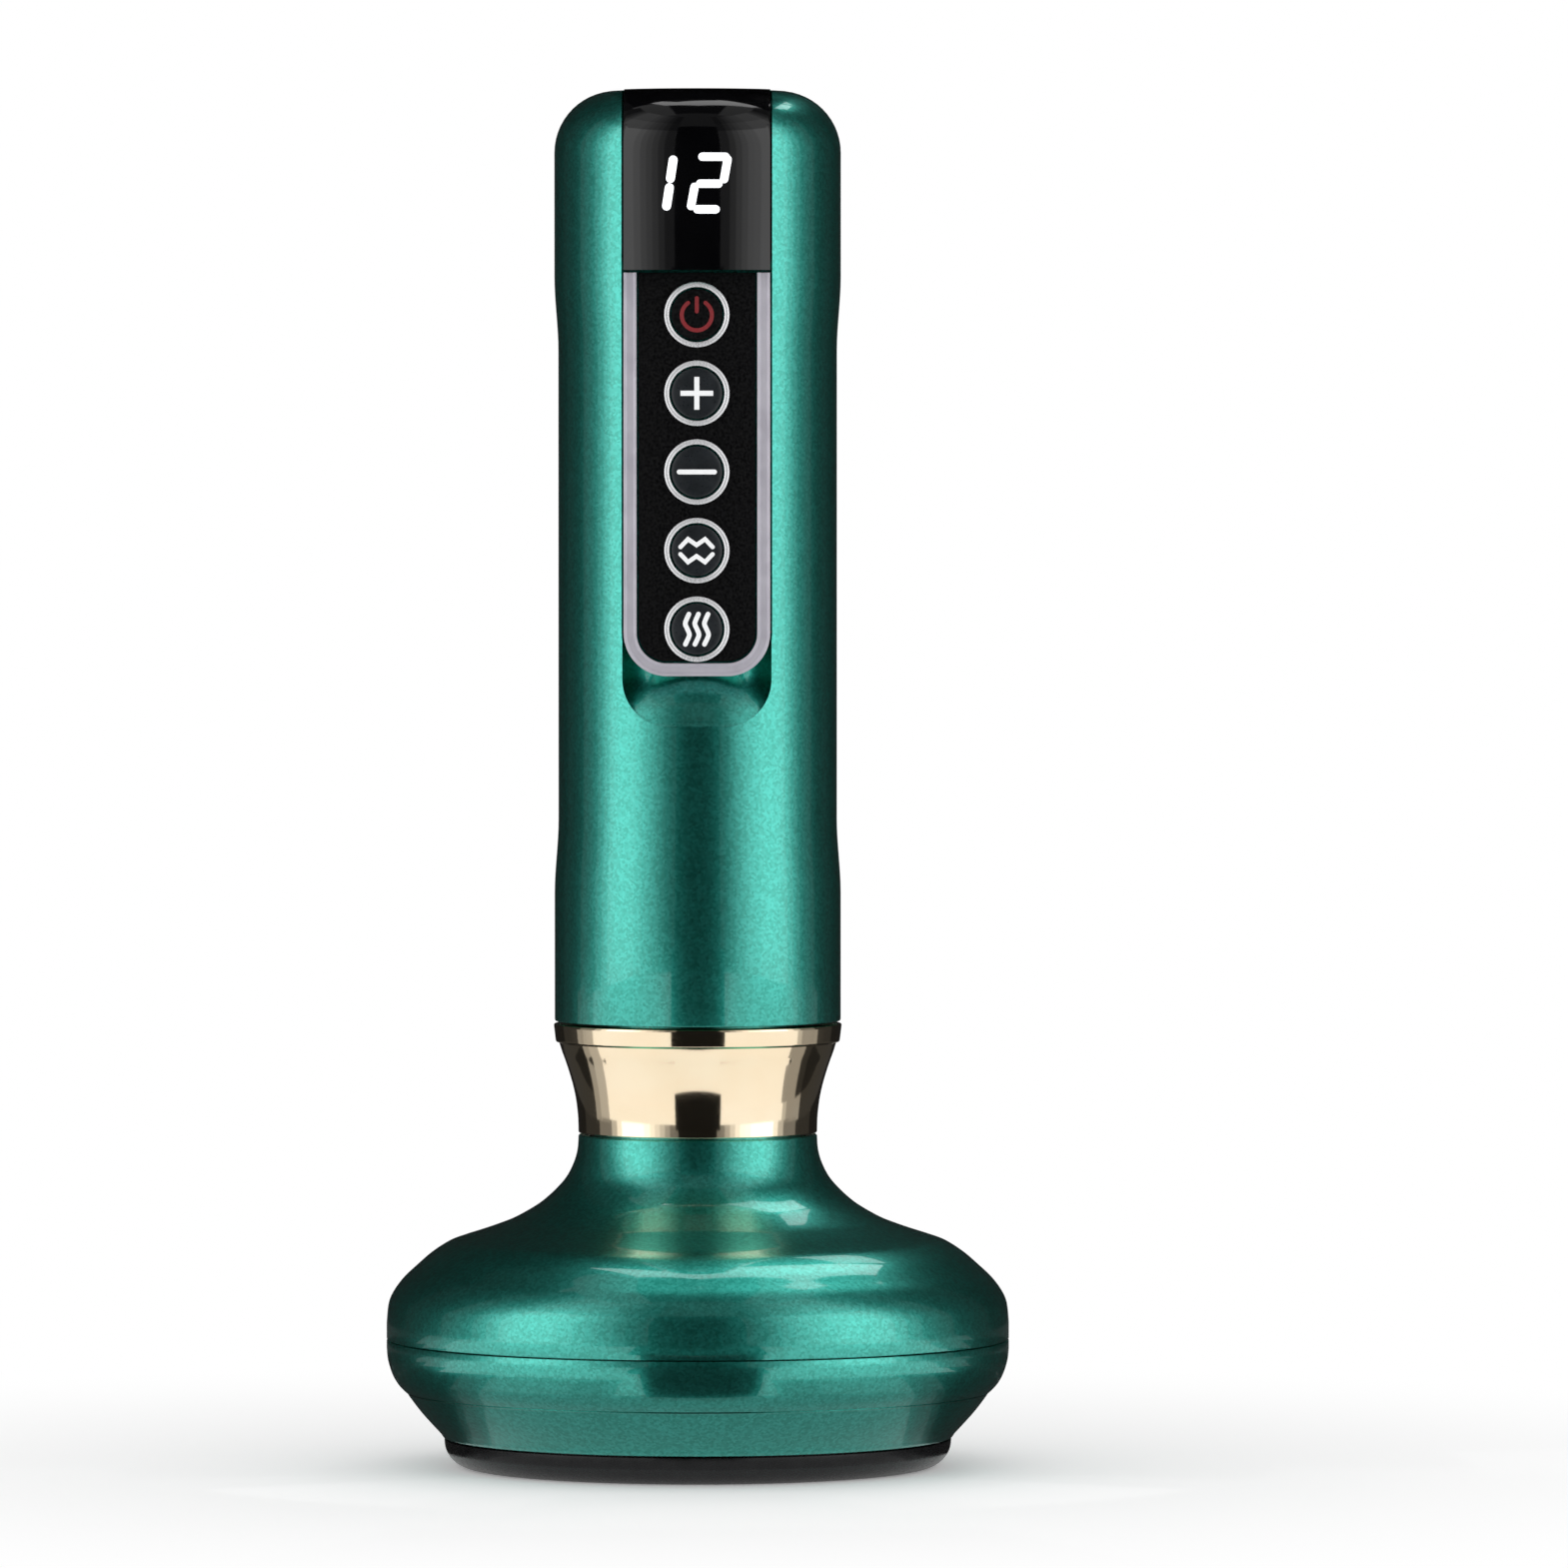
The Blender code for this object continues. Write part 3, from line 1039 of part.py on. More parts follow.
def suction_cup(matt, rubber, heater_red, sensor_black):
    wall = PLATE_BORE - GAP
    bowl = [(CUP_MOUTH_RADIUS * across, CUP_DEPTH * up) for across, up in CUP_BOWL_SHARES]
    outline = [(0, CUP_DEPTH)] + bowl[::-1] + [(CUP_MOUTH_RADIUS + CUP_LIP_ROUND, 0), (wall, 0)]
    outline += [
        (wall, CUP_FLANGE_LOW_Z), (CUP_FLANGE_RADIUS, CUP_FLANGE_LOW_Z),
        (CUP_FLANGE_RADIUS, CUP_FLANGE_LOW_Z + CUP_FLANGE_THICKNESS), (HEATER_RADIUS + GAP, CUP_ROOF_Z),
        (0, CUP_ROOF_Z),
    ]
    cup = node("suction_cup", turned(outline, HEAD_SIDES), matt)
    ways = ((0, 0), (VENT_X, -VENT_DEPTH))
    fuse(cup, together(*(
        rod(NOZZLE_RADIUS, CUP_DEPTH + CUP_ROOF / 2, CUP_ROOF_Z + NIPPLE_LENGTH, SMALL_SIDES, x, y)
        for x, y in ways
    )))
    cut(cup, together(*(
        rod(AIR_WAY_RADIUS, CUP_DEPTH - OVERRUN, CUP_ROOF_Z + NIPPLE_LENGTH + OVERRUN, SMALL_SIDES, x, y)
        for x, y in ways
    )))
    gasket_inner = PLATE_BORE + GAP
    gasket_outer = gasket_inner + GASKET_WIDTH
    gasket_top = GASKET_LOW_Z + GASKET_THICKNESS
    node("cup_gasket", turned((
        (gasket_inner, GASKET_LOW_Z), (gasket_outer, GASKET_LOW_Z),
        (gasket_outer, gasket_top), (gasket_inner, gasket_top),
    ), HEAD_SIDES), rubber)
    heater = node("heater_disc", turned((
        (HEATER_HOLE_RADIUS, HEATER_LOW_Z), (HEATER_RADIUS, HEATER_LOW_Z), (HEATER_RADIUS, HEATER_HIGH_Z),
        (HEATER_HOLE_RADIUS, HEATER_HIGH_Z),
    ), HANDLE_SIDES // 2), heater_red)
    low, high = HEATER_LOW_Z - OVERRUN, HEATER_HIGH_Z + OVERRUN
    cut(heater, together(
        rod(HEATER_HOLE_RADIUS, low, high, SMALL_SIDES, VENT_X, -VENT_DEPTH),
        rod(SENSOR_RADIUS + GAP, low, high, SMALL_SIDES, SENSOR_X, SENSOR_Y),
    ))
    node("temperature_sensor", rod(
        SENSOR_RADIUS, HEATER_LOW_Z, HEATER_LOW_Z + SENSOR_HEIGHT, SMALL_SIDES, SENSOR_X, SENSOR_Y,
    ), sensor_black)


def release_valve(valve_white, steel, rubber):
    low = FRAME_HIGH_Z + GAP
    far = VALVE_NEAR_DEPTH + VALVE_LENGTH
    body = node("release_valve", block(
        VENT_X - VALVE_HALF_WIDTH, VENT_X + VALVE_HALF_WIDTH, VALVE_NEAR_DEPTH, far,
        low, low + VALVE_HEIGHT,
    ), valve_white)
    nozzle_end = VALVE_NEAR_DEPTH - VALVE_NOZZLE_LENGTH
    nozzle = rod(VALVE_NOZZLE_RADIUS, nozzle_end, VALVE_NEAR_DEPTH + OVERRUN, SMALL_SIDES)
    fuse(body, facing_forward(nozzle, VENT_X, VALVE_NOZZLE_Z))
    plunger_far = far - PLUNGER_RECESS
    plunger_near = plunger_far - PLUNGER_LENGTH
    bore_end = plunger_near - PLUNGER_TRAVEL - GAP
    cut(body, facing_forward(
        rod(PLUNGER_RADIUS + GAP, bore_end, far + OVERRUN, SMALL_SIDES + 2), VENT_X, VALVE_NOZZLE_Z,
    ))
    air_way = rod(AIR_WAY_RADIUS, nozzle_end - OVERRUN, bore_end + GAP, SMALL_SIDES)
    cut(body, facing_forward(air_way, VENT_X, VALVE_NOZZLE_Z))
    middle = (plunger_near + plunger_far) / 2
    node("valve_plunger", facing_forward(
        rod(PLUNGER_RADIUS, plunger_near, plunger_far, SMALL_SIDES + 2), VENT_X, VALVE_NOZZLE_Z,
    ), steel, (VENT_X, -middle, VALVE_NOZZLE_Z))
    bend_z = VALVE_NOZZLE_Z - VALVE_HOSE_BEND
    bend_depth = VENT_DEPTH + VALVE_HOSE_BEND
    route = [Vector((VENT_X, -VENT_DEPTH, HEATER_HIGH_Z + GAP))]
    for depth, z in arc(bend_depth, bend_z, VALVE_HOSE_BEND, math.pi, math.pi / 2, ROUND_STEPS):
        route.append(Vector((VENT_X, -depth, z)))
    route.append(Vector((VENT_X, -VALVE_NEAR_DEPTH + GAP, VALVE_NOZZLE_Z)))
    node("valve_hose", hose(route, HOSE_RADIUS, HOSE_BORE, SMALL_SIDES), rubber)


def build():
    clear_scene()
    paint = finish("green_paint", (0.0, 0.23, 0.16), 0.3, 0.6)
    gold = finish("gold_plate", (0.83, 0.64, 0.42), 0.15, 1.0)
    silver = finish("silver_trim", (0.6, 0.58, 0.6), 0.25, 1.0)
    gloss = finish("black_gloss", (0.01, 0.01, 0.012), 0.08)
    matt = finish("black_matt", (0.015, 0.015, 0.016), 0.55)
    cap_black = finish("cap_black", (0.04, 0.045, 0.05), 0.3)
    steel = finish("steel", (0.75, 0.75, 0.76), 0.15, 1.0)
    grey = finish("grey_plastic", (0.3, 0.31, 0.32), 0.6)
    white = finish("white_plastic", (0.8, 0.8, 0.78), 0.5)
    rubber = finish("clear_silicone", (0.6, 0.6, 0.58), 0.6)
    board_green = finish("board_green", (0.02, 0.16, 0.06), 0.4)
    red = finish("heater_film", (0.5, 0.12, 0.05), 0.5)
    blue = finish("cell_wrap", (0.05, 0.15, 0.45), 0.35)
    front_shell(paint)
    rear_shell(paint)
    display_window(gloss)
    panel_trim(silver)
    keypad_panel(matt)
    buttons(silver, cap_black)
    electronics(board_green, matt, gloss, steel)
    battery(blue, grey)
    pump(steel, white, rubber, grey)
    signal_cable(matt)
    shell_screws(steel)
    gold_collar(gold)
    head_upper_cover(paint)
    head_lower_ring(paint)
    head_frame(grey)
    contact_plate(matt)
    ball_retainer(grey)
    massage_balls(steel)
    head_screws(steel)
    suction_cup(matt, rubber, red, matt)
    release_valve(white, steel, rubber)


build()
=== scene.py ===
"""Electric cupping massager: the fine pieces, finishes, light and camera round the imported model.

Outlines are in millimetres. The keypad faces -Y, and a depth is a distance in front of the handle's axis.
"""

import math

import bpy
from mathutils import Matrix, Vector


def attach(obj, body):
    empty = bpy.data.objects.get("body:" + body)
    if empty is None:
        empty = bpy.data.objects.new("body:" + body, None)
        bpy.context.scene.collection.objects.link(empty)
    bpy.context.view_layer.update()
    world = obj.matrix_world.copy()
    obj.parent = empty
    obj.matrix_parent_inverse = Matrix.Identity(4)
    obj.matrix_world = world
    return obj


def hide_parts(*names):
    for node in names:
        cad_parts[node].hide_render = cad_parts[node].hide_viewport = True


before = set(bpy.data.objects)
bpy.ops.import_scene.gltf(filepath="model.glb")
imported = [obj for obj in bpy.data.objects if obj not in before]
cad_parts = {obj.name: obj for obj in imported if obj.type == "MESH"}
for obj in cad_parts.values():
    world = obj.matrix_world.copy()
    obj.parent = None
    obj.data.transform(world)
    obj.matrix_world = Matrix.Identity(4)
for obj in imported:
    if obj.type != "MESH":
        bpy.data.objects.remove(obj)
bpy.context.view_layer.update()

MM = 0.001
METRE = 1000
WELD = 0.000002

# Sides of the round pieces
HEAD_STEPS = 192
HANDLE_STEPS = 160
BUTTON_STEPS = 96
PANEL_HOLE_STEPS = 64
SOCKET_STEPS = 48
SMALL_STEPS = 24

# Handle
HANDLE_RADIUS = 22.05
WAIST_RADIUS = 21.45
LOW_STEP = (88.5, 100)
HIGH_STEP = (172, 183.5)
HANDLE_BORE = 19.45
HANDLE_LOW = 68.8
FOOT_TOP = 72.9
FOOT_HOLE = 16.7
HANDLE_TOP = 212.0
TOP_ROUND = 9.5
PARTING = 0.06
PARTING_EDGE = 0.14

# How far the tools reach that cut a piece and that keep a part of it
CUT_DEPTH = 26
KEEP_DEPTH = 30
TOOL_TOP = 216

# Keypad
BUTTON_HEIGHTS = {"power": 177.5, "plus": 165.5, "minus": 153.5, "mode": 141.5, "heat": 129.5}
STRIP_HALF = 11.2
STRIP_LOW = 122.3
STRIP_HIGH = 183.9
STRIP_CORNER = 6.6
STRIP_BACK = 17.35
PANEL_HALF = 8.9
PANEL_CORNER = 4.3
PANEL_BACK = 17.294
PANEL_FACE = 18.394
PANEL_EDGE = 0.1
POCKET_MARGIN = 0.3
POCKET_FLOOR = 16.994
FLOOR_BACK = 15.494
FLOOR_HALF = 12.4
FLOOR_LOW = 113.6
FLOOR_HIGH = 187.8
BEZEL_INNER = 4.2
BEZEL_OUTER = 5.0
CAP_RADIUS = 3.9
CAP_BACK = 15.894
CAP_FLANGE = 17.694
CAP_FACE = 18.794
CAP_CROWN = 0.4
STEM_HOLE = 1.6
MARK_BACK = 17
MARK_FRONT = 22
MARK_BASE = 18.7
MARK_REACH = 3.4
MARK_PROUD = 0.03

# Thumb scoop below the strip
SCOOP_LOW = 113.9
SCOOP_HIGH = 129.2
SCOOP_DEEPEST = 16.3
SCOOP_FILLET = 2.0
SCOOP_MARGIN = 0.2
SCOOP_CORNER = 7.2
BACKING_HALF = 12.1
BACKING_LOW = 114.2
BACKING_HIGH = 128.9
BACKING_FACE = 21.8
FOOTING_INSET = 0.25

# Window, display opening and the screws beside it
WINDOW_LOW = 184.3
WINDOW_KEEP_LOW = 180
WINDOW_THICKNESS = 1.2
WINDOW_PROUD = 0.15
WINDOW_RADIUS = 22.2
WINDOW_EDGE = 0.16
RECESS_HALF = 11.5
OPENING_HALF = 9.3
OPENING_LOW = 187.5
OPENING_HIGH = 201.4
DIGIT_SKIN = (-0.1, 0.02)
DIGIT_WIDTHS = {"1": 1.35, "2": 1.25}
SCREW_SIDE = 7.4
SCREW_HEIGHT = 204.5
SCREW_HOLE = 1.05
SCREW_HEAD = 2.1
SCREW_SEAT = 0.3

# Charging inlet in the top: half widths and half heights of its slot, its shell and its mouth
INLET_DEPTH = 8.594
INLET_SLOT = (4.8, 1.9)
INLET_SHELL = (4.5, 1.6)
INLET_MOUTH = (4.15, 1.25)
INLET_LOW = 204.7
INLET_TOP = 211.4
INLET_EDGE = 0.12
TONGUE_HALF = 3.1
TONGUE_HALF_HEIGHT = 0.35

# Collar
COLLAR_LOW = 51.6
COLLAR_TOP = 68.4

# Head
HEAD_RADIUS = 48.0
SEAM_LOW = 19.63
SEAM_HIGH = 19.77
BALL_COUNT = 8
BALL_RADIUS = 4.4
BALL_CIRCLE = 29.2
BALL_HEIGHT = 4.65
SOCKET_RADIUS = 5.6
PLATE_TWIST = 0.6
PILLAR_RADIUS = 2.2
PILLAR_TOP = 13.3
NIPPLE_RADIUS = 1.5
AIR_HOLES = ((0, 0), (-4.3, -11.1))

# Cards round the set, in metres
SOFTBOX_REACH = 1.1
SOFTBOX_NEAR = 0.34
SOFTBOX_HEIGHT = 1.0
FLAG_REACH = 1.3
FLAG_NEAR = 0.4
FLAG_HEIGHT = 2.4
CLOTH_HEIGHT = 0.001
FLOOR_SIZE = 12
SHADOW_NEAR = 0.06
SHADOW_FAR = 0.22

# Camera, in metres
CAMERA_PLACE = (0.0133, -2.0, 0.165)
CAMERA_TARGET = (0.0133, 0, 0.1053)
CAMERA_LENS = 298


def pick(*pieces):
    """Selects these pieces alone, the last one active."""
    bpy.ops.object.select_all(action="DESELECT")
    for piece in pieces:
        piece.select_set(True)
        bpy.context.view_layer.objects.active = piece


def draw(name, points):
    """Starts a piece in edit mode as an open line through the points."""
    pick()
    corners = [Vector(point) * MM for point in points]
    bpy.ops.mesh.primitive_plane_add(size=MM, location=corners[0])
    piece = bpy.context.object
    piece.name = name
    piece.data.name = name
    bpy.ops.object.transform_apply(location=True, rotation=True, scale=True)
    bpy.ops.object.mode_set(mode="EDIT")
    bpy.ops.mesh.select_all(action="SELECT")
    bpy.ops.mesh.merge(type="CENTER")
    for before, after in zip(corners, corners[1:]):
        bpy.ops.mesh.extrude_vertices_move(TRANSFORM_OT_translate={"value": after - before})
    bpy.ops.mesh.select_all(action="SELECT")
    return piece


def close():
    """Welds what meets, turns the faces outwards and leaves edit mode."""
    bpy.ops.mesh.select_all(action="SELECT")
    bpy.ops.mesh.remove_doubles(threshold=WELD)
    bpy.ops.mesh.normals_make_consistent(inside=False)
    bpy.ops.object.mode_set(mode="OBJECT")


def turn(name, outline, steps, centre=(0, 0), facing=False):
    """Spins a (radius, height) outline all round: about Z, or about Y with its heights as depths."""
    across, other = centre
    if facing:
        points = [(across + radius, -height, other) for radius, height in outline]
        middle = Vector((across, 0, other)) * MM
        axis = (0, 1, 0)
    else:
        points = [(across + radius, other, height) for radius, height in outline]
        middle = Vector((across, other, 0)) * MM
        axis = (0, 0, 1)
    piece = draw(name, points)
    bpy.ops.mesh.spin(steps=steps, angle=math.tau, center=middle, axis=axis)
    close()
    return piece


def slab(name, outline, near, far):
    """A plate: the (x, z) outline between two depths."""
    piece = draw(name, [(x, -near, z) for x, z in outline])
    bpy.ops.mesh.edge_face_add()
    bpy.ops.mesh.extrude_region_move(TRANSFORM_OT_translate={"value": (0, (near - far) * MM, 0)})
    close()
    return piece


def curved_plank(name, outline, half_width, bow, half_steps=10):
    """A bar, the (depth, z) outline from side to side, whose faces follow a round wall of radius bow."""
    stops = [half_width * (step / half_steps - 1) for step in range(2 * half_steps + 1)]
    depths = [math.sqrt(bow * bow - stop * stop) - bow for stop in stops]
    piece = draw(name, [(stops[0], -depth - depths[0], z) for depth, z in outline])
    bpy.ops.mesh.edge_face_add()
    for index in range(2 * half_steps):
        move = Vector((stops[index + 1] - stops[index], depths[index] - depths[index + 1], 0)) * MM
        bpy.ops.mesh.extrude_region_move(TRANSFORM_OT_translate={"value": move})
    close()
    return piece


def apply_to(piece, modifier):
    pick(piece)
    bpy.ops.object.modifier_apply(modifier=modifier.name)


def carve(piece, tool, how="DIFFERENCE"):
    """Cuts, joins or keeps by another solid, which is then gone."""
    change = piece.modifiers.new("carve", "BOOLEAN")
    change.object = tool
    change.operation = how
    change.solver = "EXACT"
    apply_to(piece, change)
    bpy.data.objects.remove(tool)


def soften(piece, width, sharper_than=35, segments=2):
    """Rounds the edges that are sharper than an angle."""
    edge = piece.modifiers.new("edge", "BEVEL")
    edge.width = width * MM
    edge.segments = segments
    edge.limit_method = "ANGLE"
    edge.angle_limit = math.radians(sharper_than)
    apply_to(piece, edge)


def twin(piece, name, shift=(0, 0, 0), angle=0.0):
    """A copy with its own mesh, turned about the origin and then shifted."""
    pick(piece)
    bpy.ops.object.duplicate(linked=False)
    copy = bpy.context.object
    copy.name = name
    copy.data.name = name
    copy.rotation_euler.z = angle
    copy.location = Vector(shift) * MM
    bpy.ops.object.transform_apply(location=True, rotation=True, scale=True)
    return copy


def all_round(piece, turns):
    """Copies a piece round the head's axis, at shares of a full turn, and joins the copies."""
    copies = [
        twin(piece, f"{piece.name}_{index + 1}", angle=math.tau * share)
        for index, share in enumerate(turns)
    ]
    bpy.data.objects.remove(piece)
    pick(*copies)
    bpy.ops.object.join()
    return bpy.context.object


def arc(centre, radius, start, end, steps):
    """Points on a circle, from one angle in degrees to another."""
    points = []
    for step in range(steps + 1):
        angle = math.radians(start + (end - start) * step / steps)
        points.append((centre[0] + radius * math.cos(angle), centre[1] + radius * math.sin(angle)))
    return points


def smooth_line(points, steps=5):
    """A smooth line through all the points."""
    fine = []
    ends = [points[0], *points, points[-1]]
    for before, start, end, after in zip(ends, ends[1:], ends[2:], ends[3:]):
        for step in range(steps):
            share = step / steps
            square, cube = share * share, share * share * share
            fine.append(tuple(
                0.5 * (2 * s + (e - b) * share + (2 * b - 5 * s + 4 * e - a) * square
                       + (3 * s - b - 3 * e + a) * cube)
                for b, s, e, a in zip(before, start, end, after)
            ))
    fine.append(tuple(points[-1]))
    return fine


def rectangle(half_width, low, high):
    return [(-half_width, low), (half_width, low), (half_width, high), (-half_width, high)]


def post(radius, low, high):
    """The (radius, height) outline of a plain round post, for turning."""
    return [(0, low), (radius, low), (radius, high), (0, high)]


def rounded_u(half_width, low, high, corner, steps=12):
    """Straight sides, a flat top and two rounded bottom corners."""
    points = [(half_width, high), (-half_width, high)]
    points += arc((corner - half_width, low + corner), corner, 180, 270, steps)
    points += arc((half_width - corner, low + corner), corner, 270, 360, steps)
    return points


def stroke(points, width, cap_steps=8):
    """The outline of a line drawn with a round pen."""
    half = width / 2
    left, right = [], []
    last = len(points) - 1
    for index, point in enumerate(points):
        before = Vector(points[max(index - 1, 0)])
        after = Vector(points[min(index + 1, last)])
        here = Vector(point)
        ways = [way.normalized() for way in (here - before, after - here) if way.length > 0]
        along = (ways[0] + ways[-1]).normalized()
        reach = half / max(along.dot(ways[0]), 0.4)
        side = Vector((-along.y, along.x)) * reach
        left.append(tuple(here + side))
        right.append(tuple(here - side))
    first = Vector(points[0]) - Vector(points[1])
    final = Vector(points[last]) - Vector(points[last - 1])
    head = math.degrees(math.atan2(final.y, final.x))
    tail = math.degrees(math.atan2(first.y, first.x))
    outline = left[:-1] + arc(points[last], half, head + 90, head - 90, cap_steps) + right[-2:0:-1]
    return outline + arc(points[0], half, tail + 90, tail - 90, cap_steps)


def top_round(offset, steps=14):
    """The handle's top rounding, pushed out by an offset."""
    centre = (HANDLE_RADIUS - TOP_ROUND, HANDLE_TOP - TOP_ROUND)
    return arc(centre, TOP_ROUND + offset, 0, 90, steps)


def waist(low, high, first, second, steps=8):
    """A soft step from one radius to another."""
    points = []
    for step in range(steps + 1):
        share = step / steps
        blend = share * share * (3 - 2 * share)
        points.append((first + (second - first) * blend, low + (high - low) * share))
    return points


def handle_tube():
    """The whole hollow handle, before it is parted."""
    outside = [(HANDLE_RADIUS - 0.3, HANDLE_LOW), (HANDLE_RADIUS - 0.08, HANDLE_LOW + 0.08),
               (HANDLE_RADIUS, HANDLE_LOW + 0.3)]
    outside += waist(*LOW_STEP, HANDLE_RADIUS, WAIST_RADIUS)
    outside += waist(*HIGH_STEP, WAIST_RADIUS, HANDLE_RADIUS)
    outside += top_round(0)
    inside = top_round(HANDLE_BORE - HANDLE_RADIUS)[::-1]
    outline = outside + [(0, HANDLE_TOP), (0, inside[0][1])] + inside
    outline += [(HANDLE_BORE, FOOT_TOP), (FOOT_HOLE, FOOT_TOP), (FOOT_HOLE, HANDLE_LOW), outside[0]]
    return turn("handle_rear", outline, HANDLE_STEPS)


def part_at(piece, side):
    """Keeps the half of a handle piece that lies on one side of the parting line."""
    pick(piece)
    bpy.ops.object.mode_set(mode="EDIT")
    bpy.ops.mesh.select_all(action="SELECT")
    bpy.ops.mesh.bisect(
        plane_co=(0, side * PARTING * MM, 0), plane_no=(0, -side, 0), use_fill=True, clear_outer=True,
    )
    close()
    soften(piece, PARTING_EDGE, 60)


def handle_front(rear):
    """The front half, with the keypad's pocket, thumb scoop, window recess and holes."""
    front = twin(rear, "handle_front")
    part_at(front, -1)
    floor_outline = rectangle(FLOOR_HALF, FLOOR_LOW, FLOOR_HIGH)
    carve(front, slab("floor_plate", floor_outline, FLOOR_BACK, POCKET_FLOOR + 0.15), "UNION")
    carve(front, scoop_backing(), "UNION")
    pocket = rounded_u(
        STRIP_HALF + POCKET_MARGIN, STRIP_LOW - POCKET_MARGIN, WINDOW_LOW + 0.2, STRIP_CORNER + POCKET_MARGIN,
    )
    carve(front, slab("pocket", pocket, POCKET_FLOOR, CUT_DEPTH))
    carve(front, thumb_scoop())
    recess = turn("recess", window_section(-1.5, 3.0, 0.3), HANDLE_STEPS)
    keep = rectangle(RECESS_HALF, WINDOW_KEEP_LOW, TOOL_TOP)
    carve(recess, slab("recess_keep", keep, 0, KEEP_DEPTH), "INTERSECT")
    carve(front, recess)
    opening = rectangle(OPENING_HALF, OPENING_LOW, OPENING_HIGH)
    carve(front, slab("opening", opening, 13, CUT_DEPTH))
    carve(front, upright("slot", slot_outline(*INLET_SLOT, INLET_DEPTH), 204.6, TOOL_TOP))
    for x in (-SCREW_SIDE, SCREW_SIDE):
        seat = FLOOR_BACK - SCREW_SEAT
        well = [(0, 11.5), (SCREW_HOLE, 11.5), (SCREW_HOLE, seat), (SCREW_HEAD, seat),
                (SCREW_HEAD, CUT_DEPTH), (0, CUT_DEPTH)]
        carve(front, turn("well", well, SMALL_STEPS, (x, SCREW_HEIGHT), True))
    for z in BUTTON_HEIGHTS.values():
        carve(front, turn("stem_hole", post(STEM_HOLE, 12, 20), SMALL_STEPS, (0, z), True))
    return front


def scoop_backing():
    """The thicker wall behind the thumb scoop, cut to the handle's roundness."""
    back = FLOOR_BACK + 0.3
    outline = [(back, BACKING_LOW), (BACKING_FACE, BACKING_LOW), (BACKING_FACE, BACKING_HIGH),
               (back, BACKING_HIGH)]
    backing = curved_plank("scoop_backing", outline, BACKING_HALF, WAIST_RADIUS)
    backing_round = turn("backing_round", post(WAIST_RADIUS - 0.4, 110, 132), HANDLE_STEPS)
    carve(backing, backing_round, "INTERSECT")
    return backing


def thumb_scoop():
    """The hollow below the strip, deepest at the strip, which leaves the pocket's floor standing."""
    dip = [(SCOOP_DEEPEST, 124.5), (16.36, 123.2), (16.6, 122.2), (17.05, 121.3), (17.7, 120.4),
           (18.5, 119.4), (19.3, 118.4), (19.95, 117.5), (20.45, 116.6), (20.9, 115.7), (21.4, 114.7),
           (22.4, SCOOP_LOW)]
    dip = smooth_line(dip, 3)
    dip += [(CUT_DEPTH, SCOOP_LOW), (CUT_DEPTH, SCOOP_HIGH), (SCOOP_DEEPEST, SCOOP_HIGH)]
    scoop = curved_plank("scoop", dip, 13, WAIST_RADIUS)
    outline = rounded_u(STRIP_HALF + SCOOP_MARGIN, 114.6, 129.4, SCOOP_CORNER)
    carve(scoop, slab("scoop_round", outline, 10, KEEP_DEPTH), "INTERSECT")
    soften(scoop, SCOOP_FILLET, 50, 6)
    footing = rounded_u(
        STRIP_HALF - FOOTING_INSET, STRIP_LOW + FOOTING_INSET, 132, STRIP_CORNER - FOOTING_INSET,
    )
    carve(scoop, slab("footing", footing, 8, POCKET_FLOOR))
    return scoop


def window_section(inner, outer, below):
    """Section of a layer over the handle's side and top rounding, between two offsets."""
    outside = [(HANDLE_RADIUS + outer, WINDOW_LOW - below)] + top_round(outer)
    inside = top_round(inner)[::-1] + [(HANDLE_RADIUS + inner, WINDOW_LOW - below)]
    return outside + inside + outside[:1]


def upright(name, outline, low, high):
    """A post: the (x, y) outline between two heights."""
    piece = draw(name, [(x, y, low) for x, y in outline])
    bpy.ops.mesh.edge_face_add()
    bpy.ops.mesh.extrude_region_move(TRANSFORM_OT_translate={"value": (0, 0, (high - low) * MM)})
    close()
    return piece


def slot_outline(half_width, half_height, depth):
    """A slot with round ends, as (x, y) points, centred at a depth."""
    middle = half_width - half_height
    points = arc((middle, -depth), half_height, -90, 90, 10)
    return points + arc((-middle, -depth), half_height, 90, 270, 10)


def display_window():
    """The curved pane, which runs up over the top rounding."""
    window = turn("window", window_section(-WINDOW_THICKNESS, WINDOW_PROUD, 0), HANDLE_STEPS)
    keep = rectangle(STRIP_HALF, WINDOW_KEEP_LOW, TOOL_TOP)
    carve(window, slab("window_keep", keep, 0, KEEP_DEPTH), "INTERSECT")
    soften(window, WINDOW_EDGE, 50)
    return window


def lit_digits():
    """The number on the display, in slanted segments that follow the window's curve."""
    segments = {
        "digit_1_high": [(-3.58, 201.0), (-4.0, 198.2)],
        "digit_1_low": [(-4.16, 196.8), (-4.59, 194.0)],
        "digit_2_top": [(0.87, 201.5), (4.39, 201.5)],
        "digit_2_high": [(4.71, 201.1), (4.18, 198.1)],
        "digit_2_middle": [(0.53, 197.4), (3.32, 197.4)],
        "digit_2_low": [(-0.32, 196.9), (-0.85, 194.0)],
        "digit_2_bottom": [(0.1, 193.5), (2.9, 193.5)],
    }
    under, over = (WINDOW_RADIUS + offset for offset in DIGIT_SKIN)
    skin_outline = [(under, 190), (over, 190), (over, 202.45), (under, 202.45), (under, 190)]
    lit = []
    for name, line in segments.items():
        digit = name.split("_")[1]
        segment = slab(name, stroke(line, DIGIT_WIDTHS[digit]), 15, KEEP_DEPTH)
        carve(segment, turn("skin", skin_outline, HANDLE_STEPS), "INTERSECT")
        lit.append(segment)
    return lit


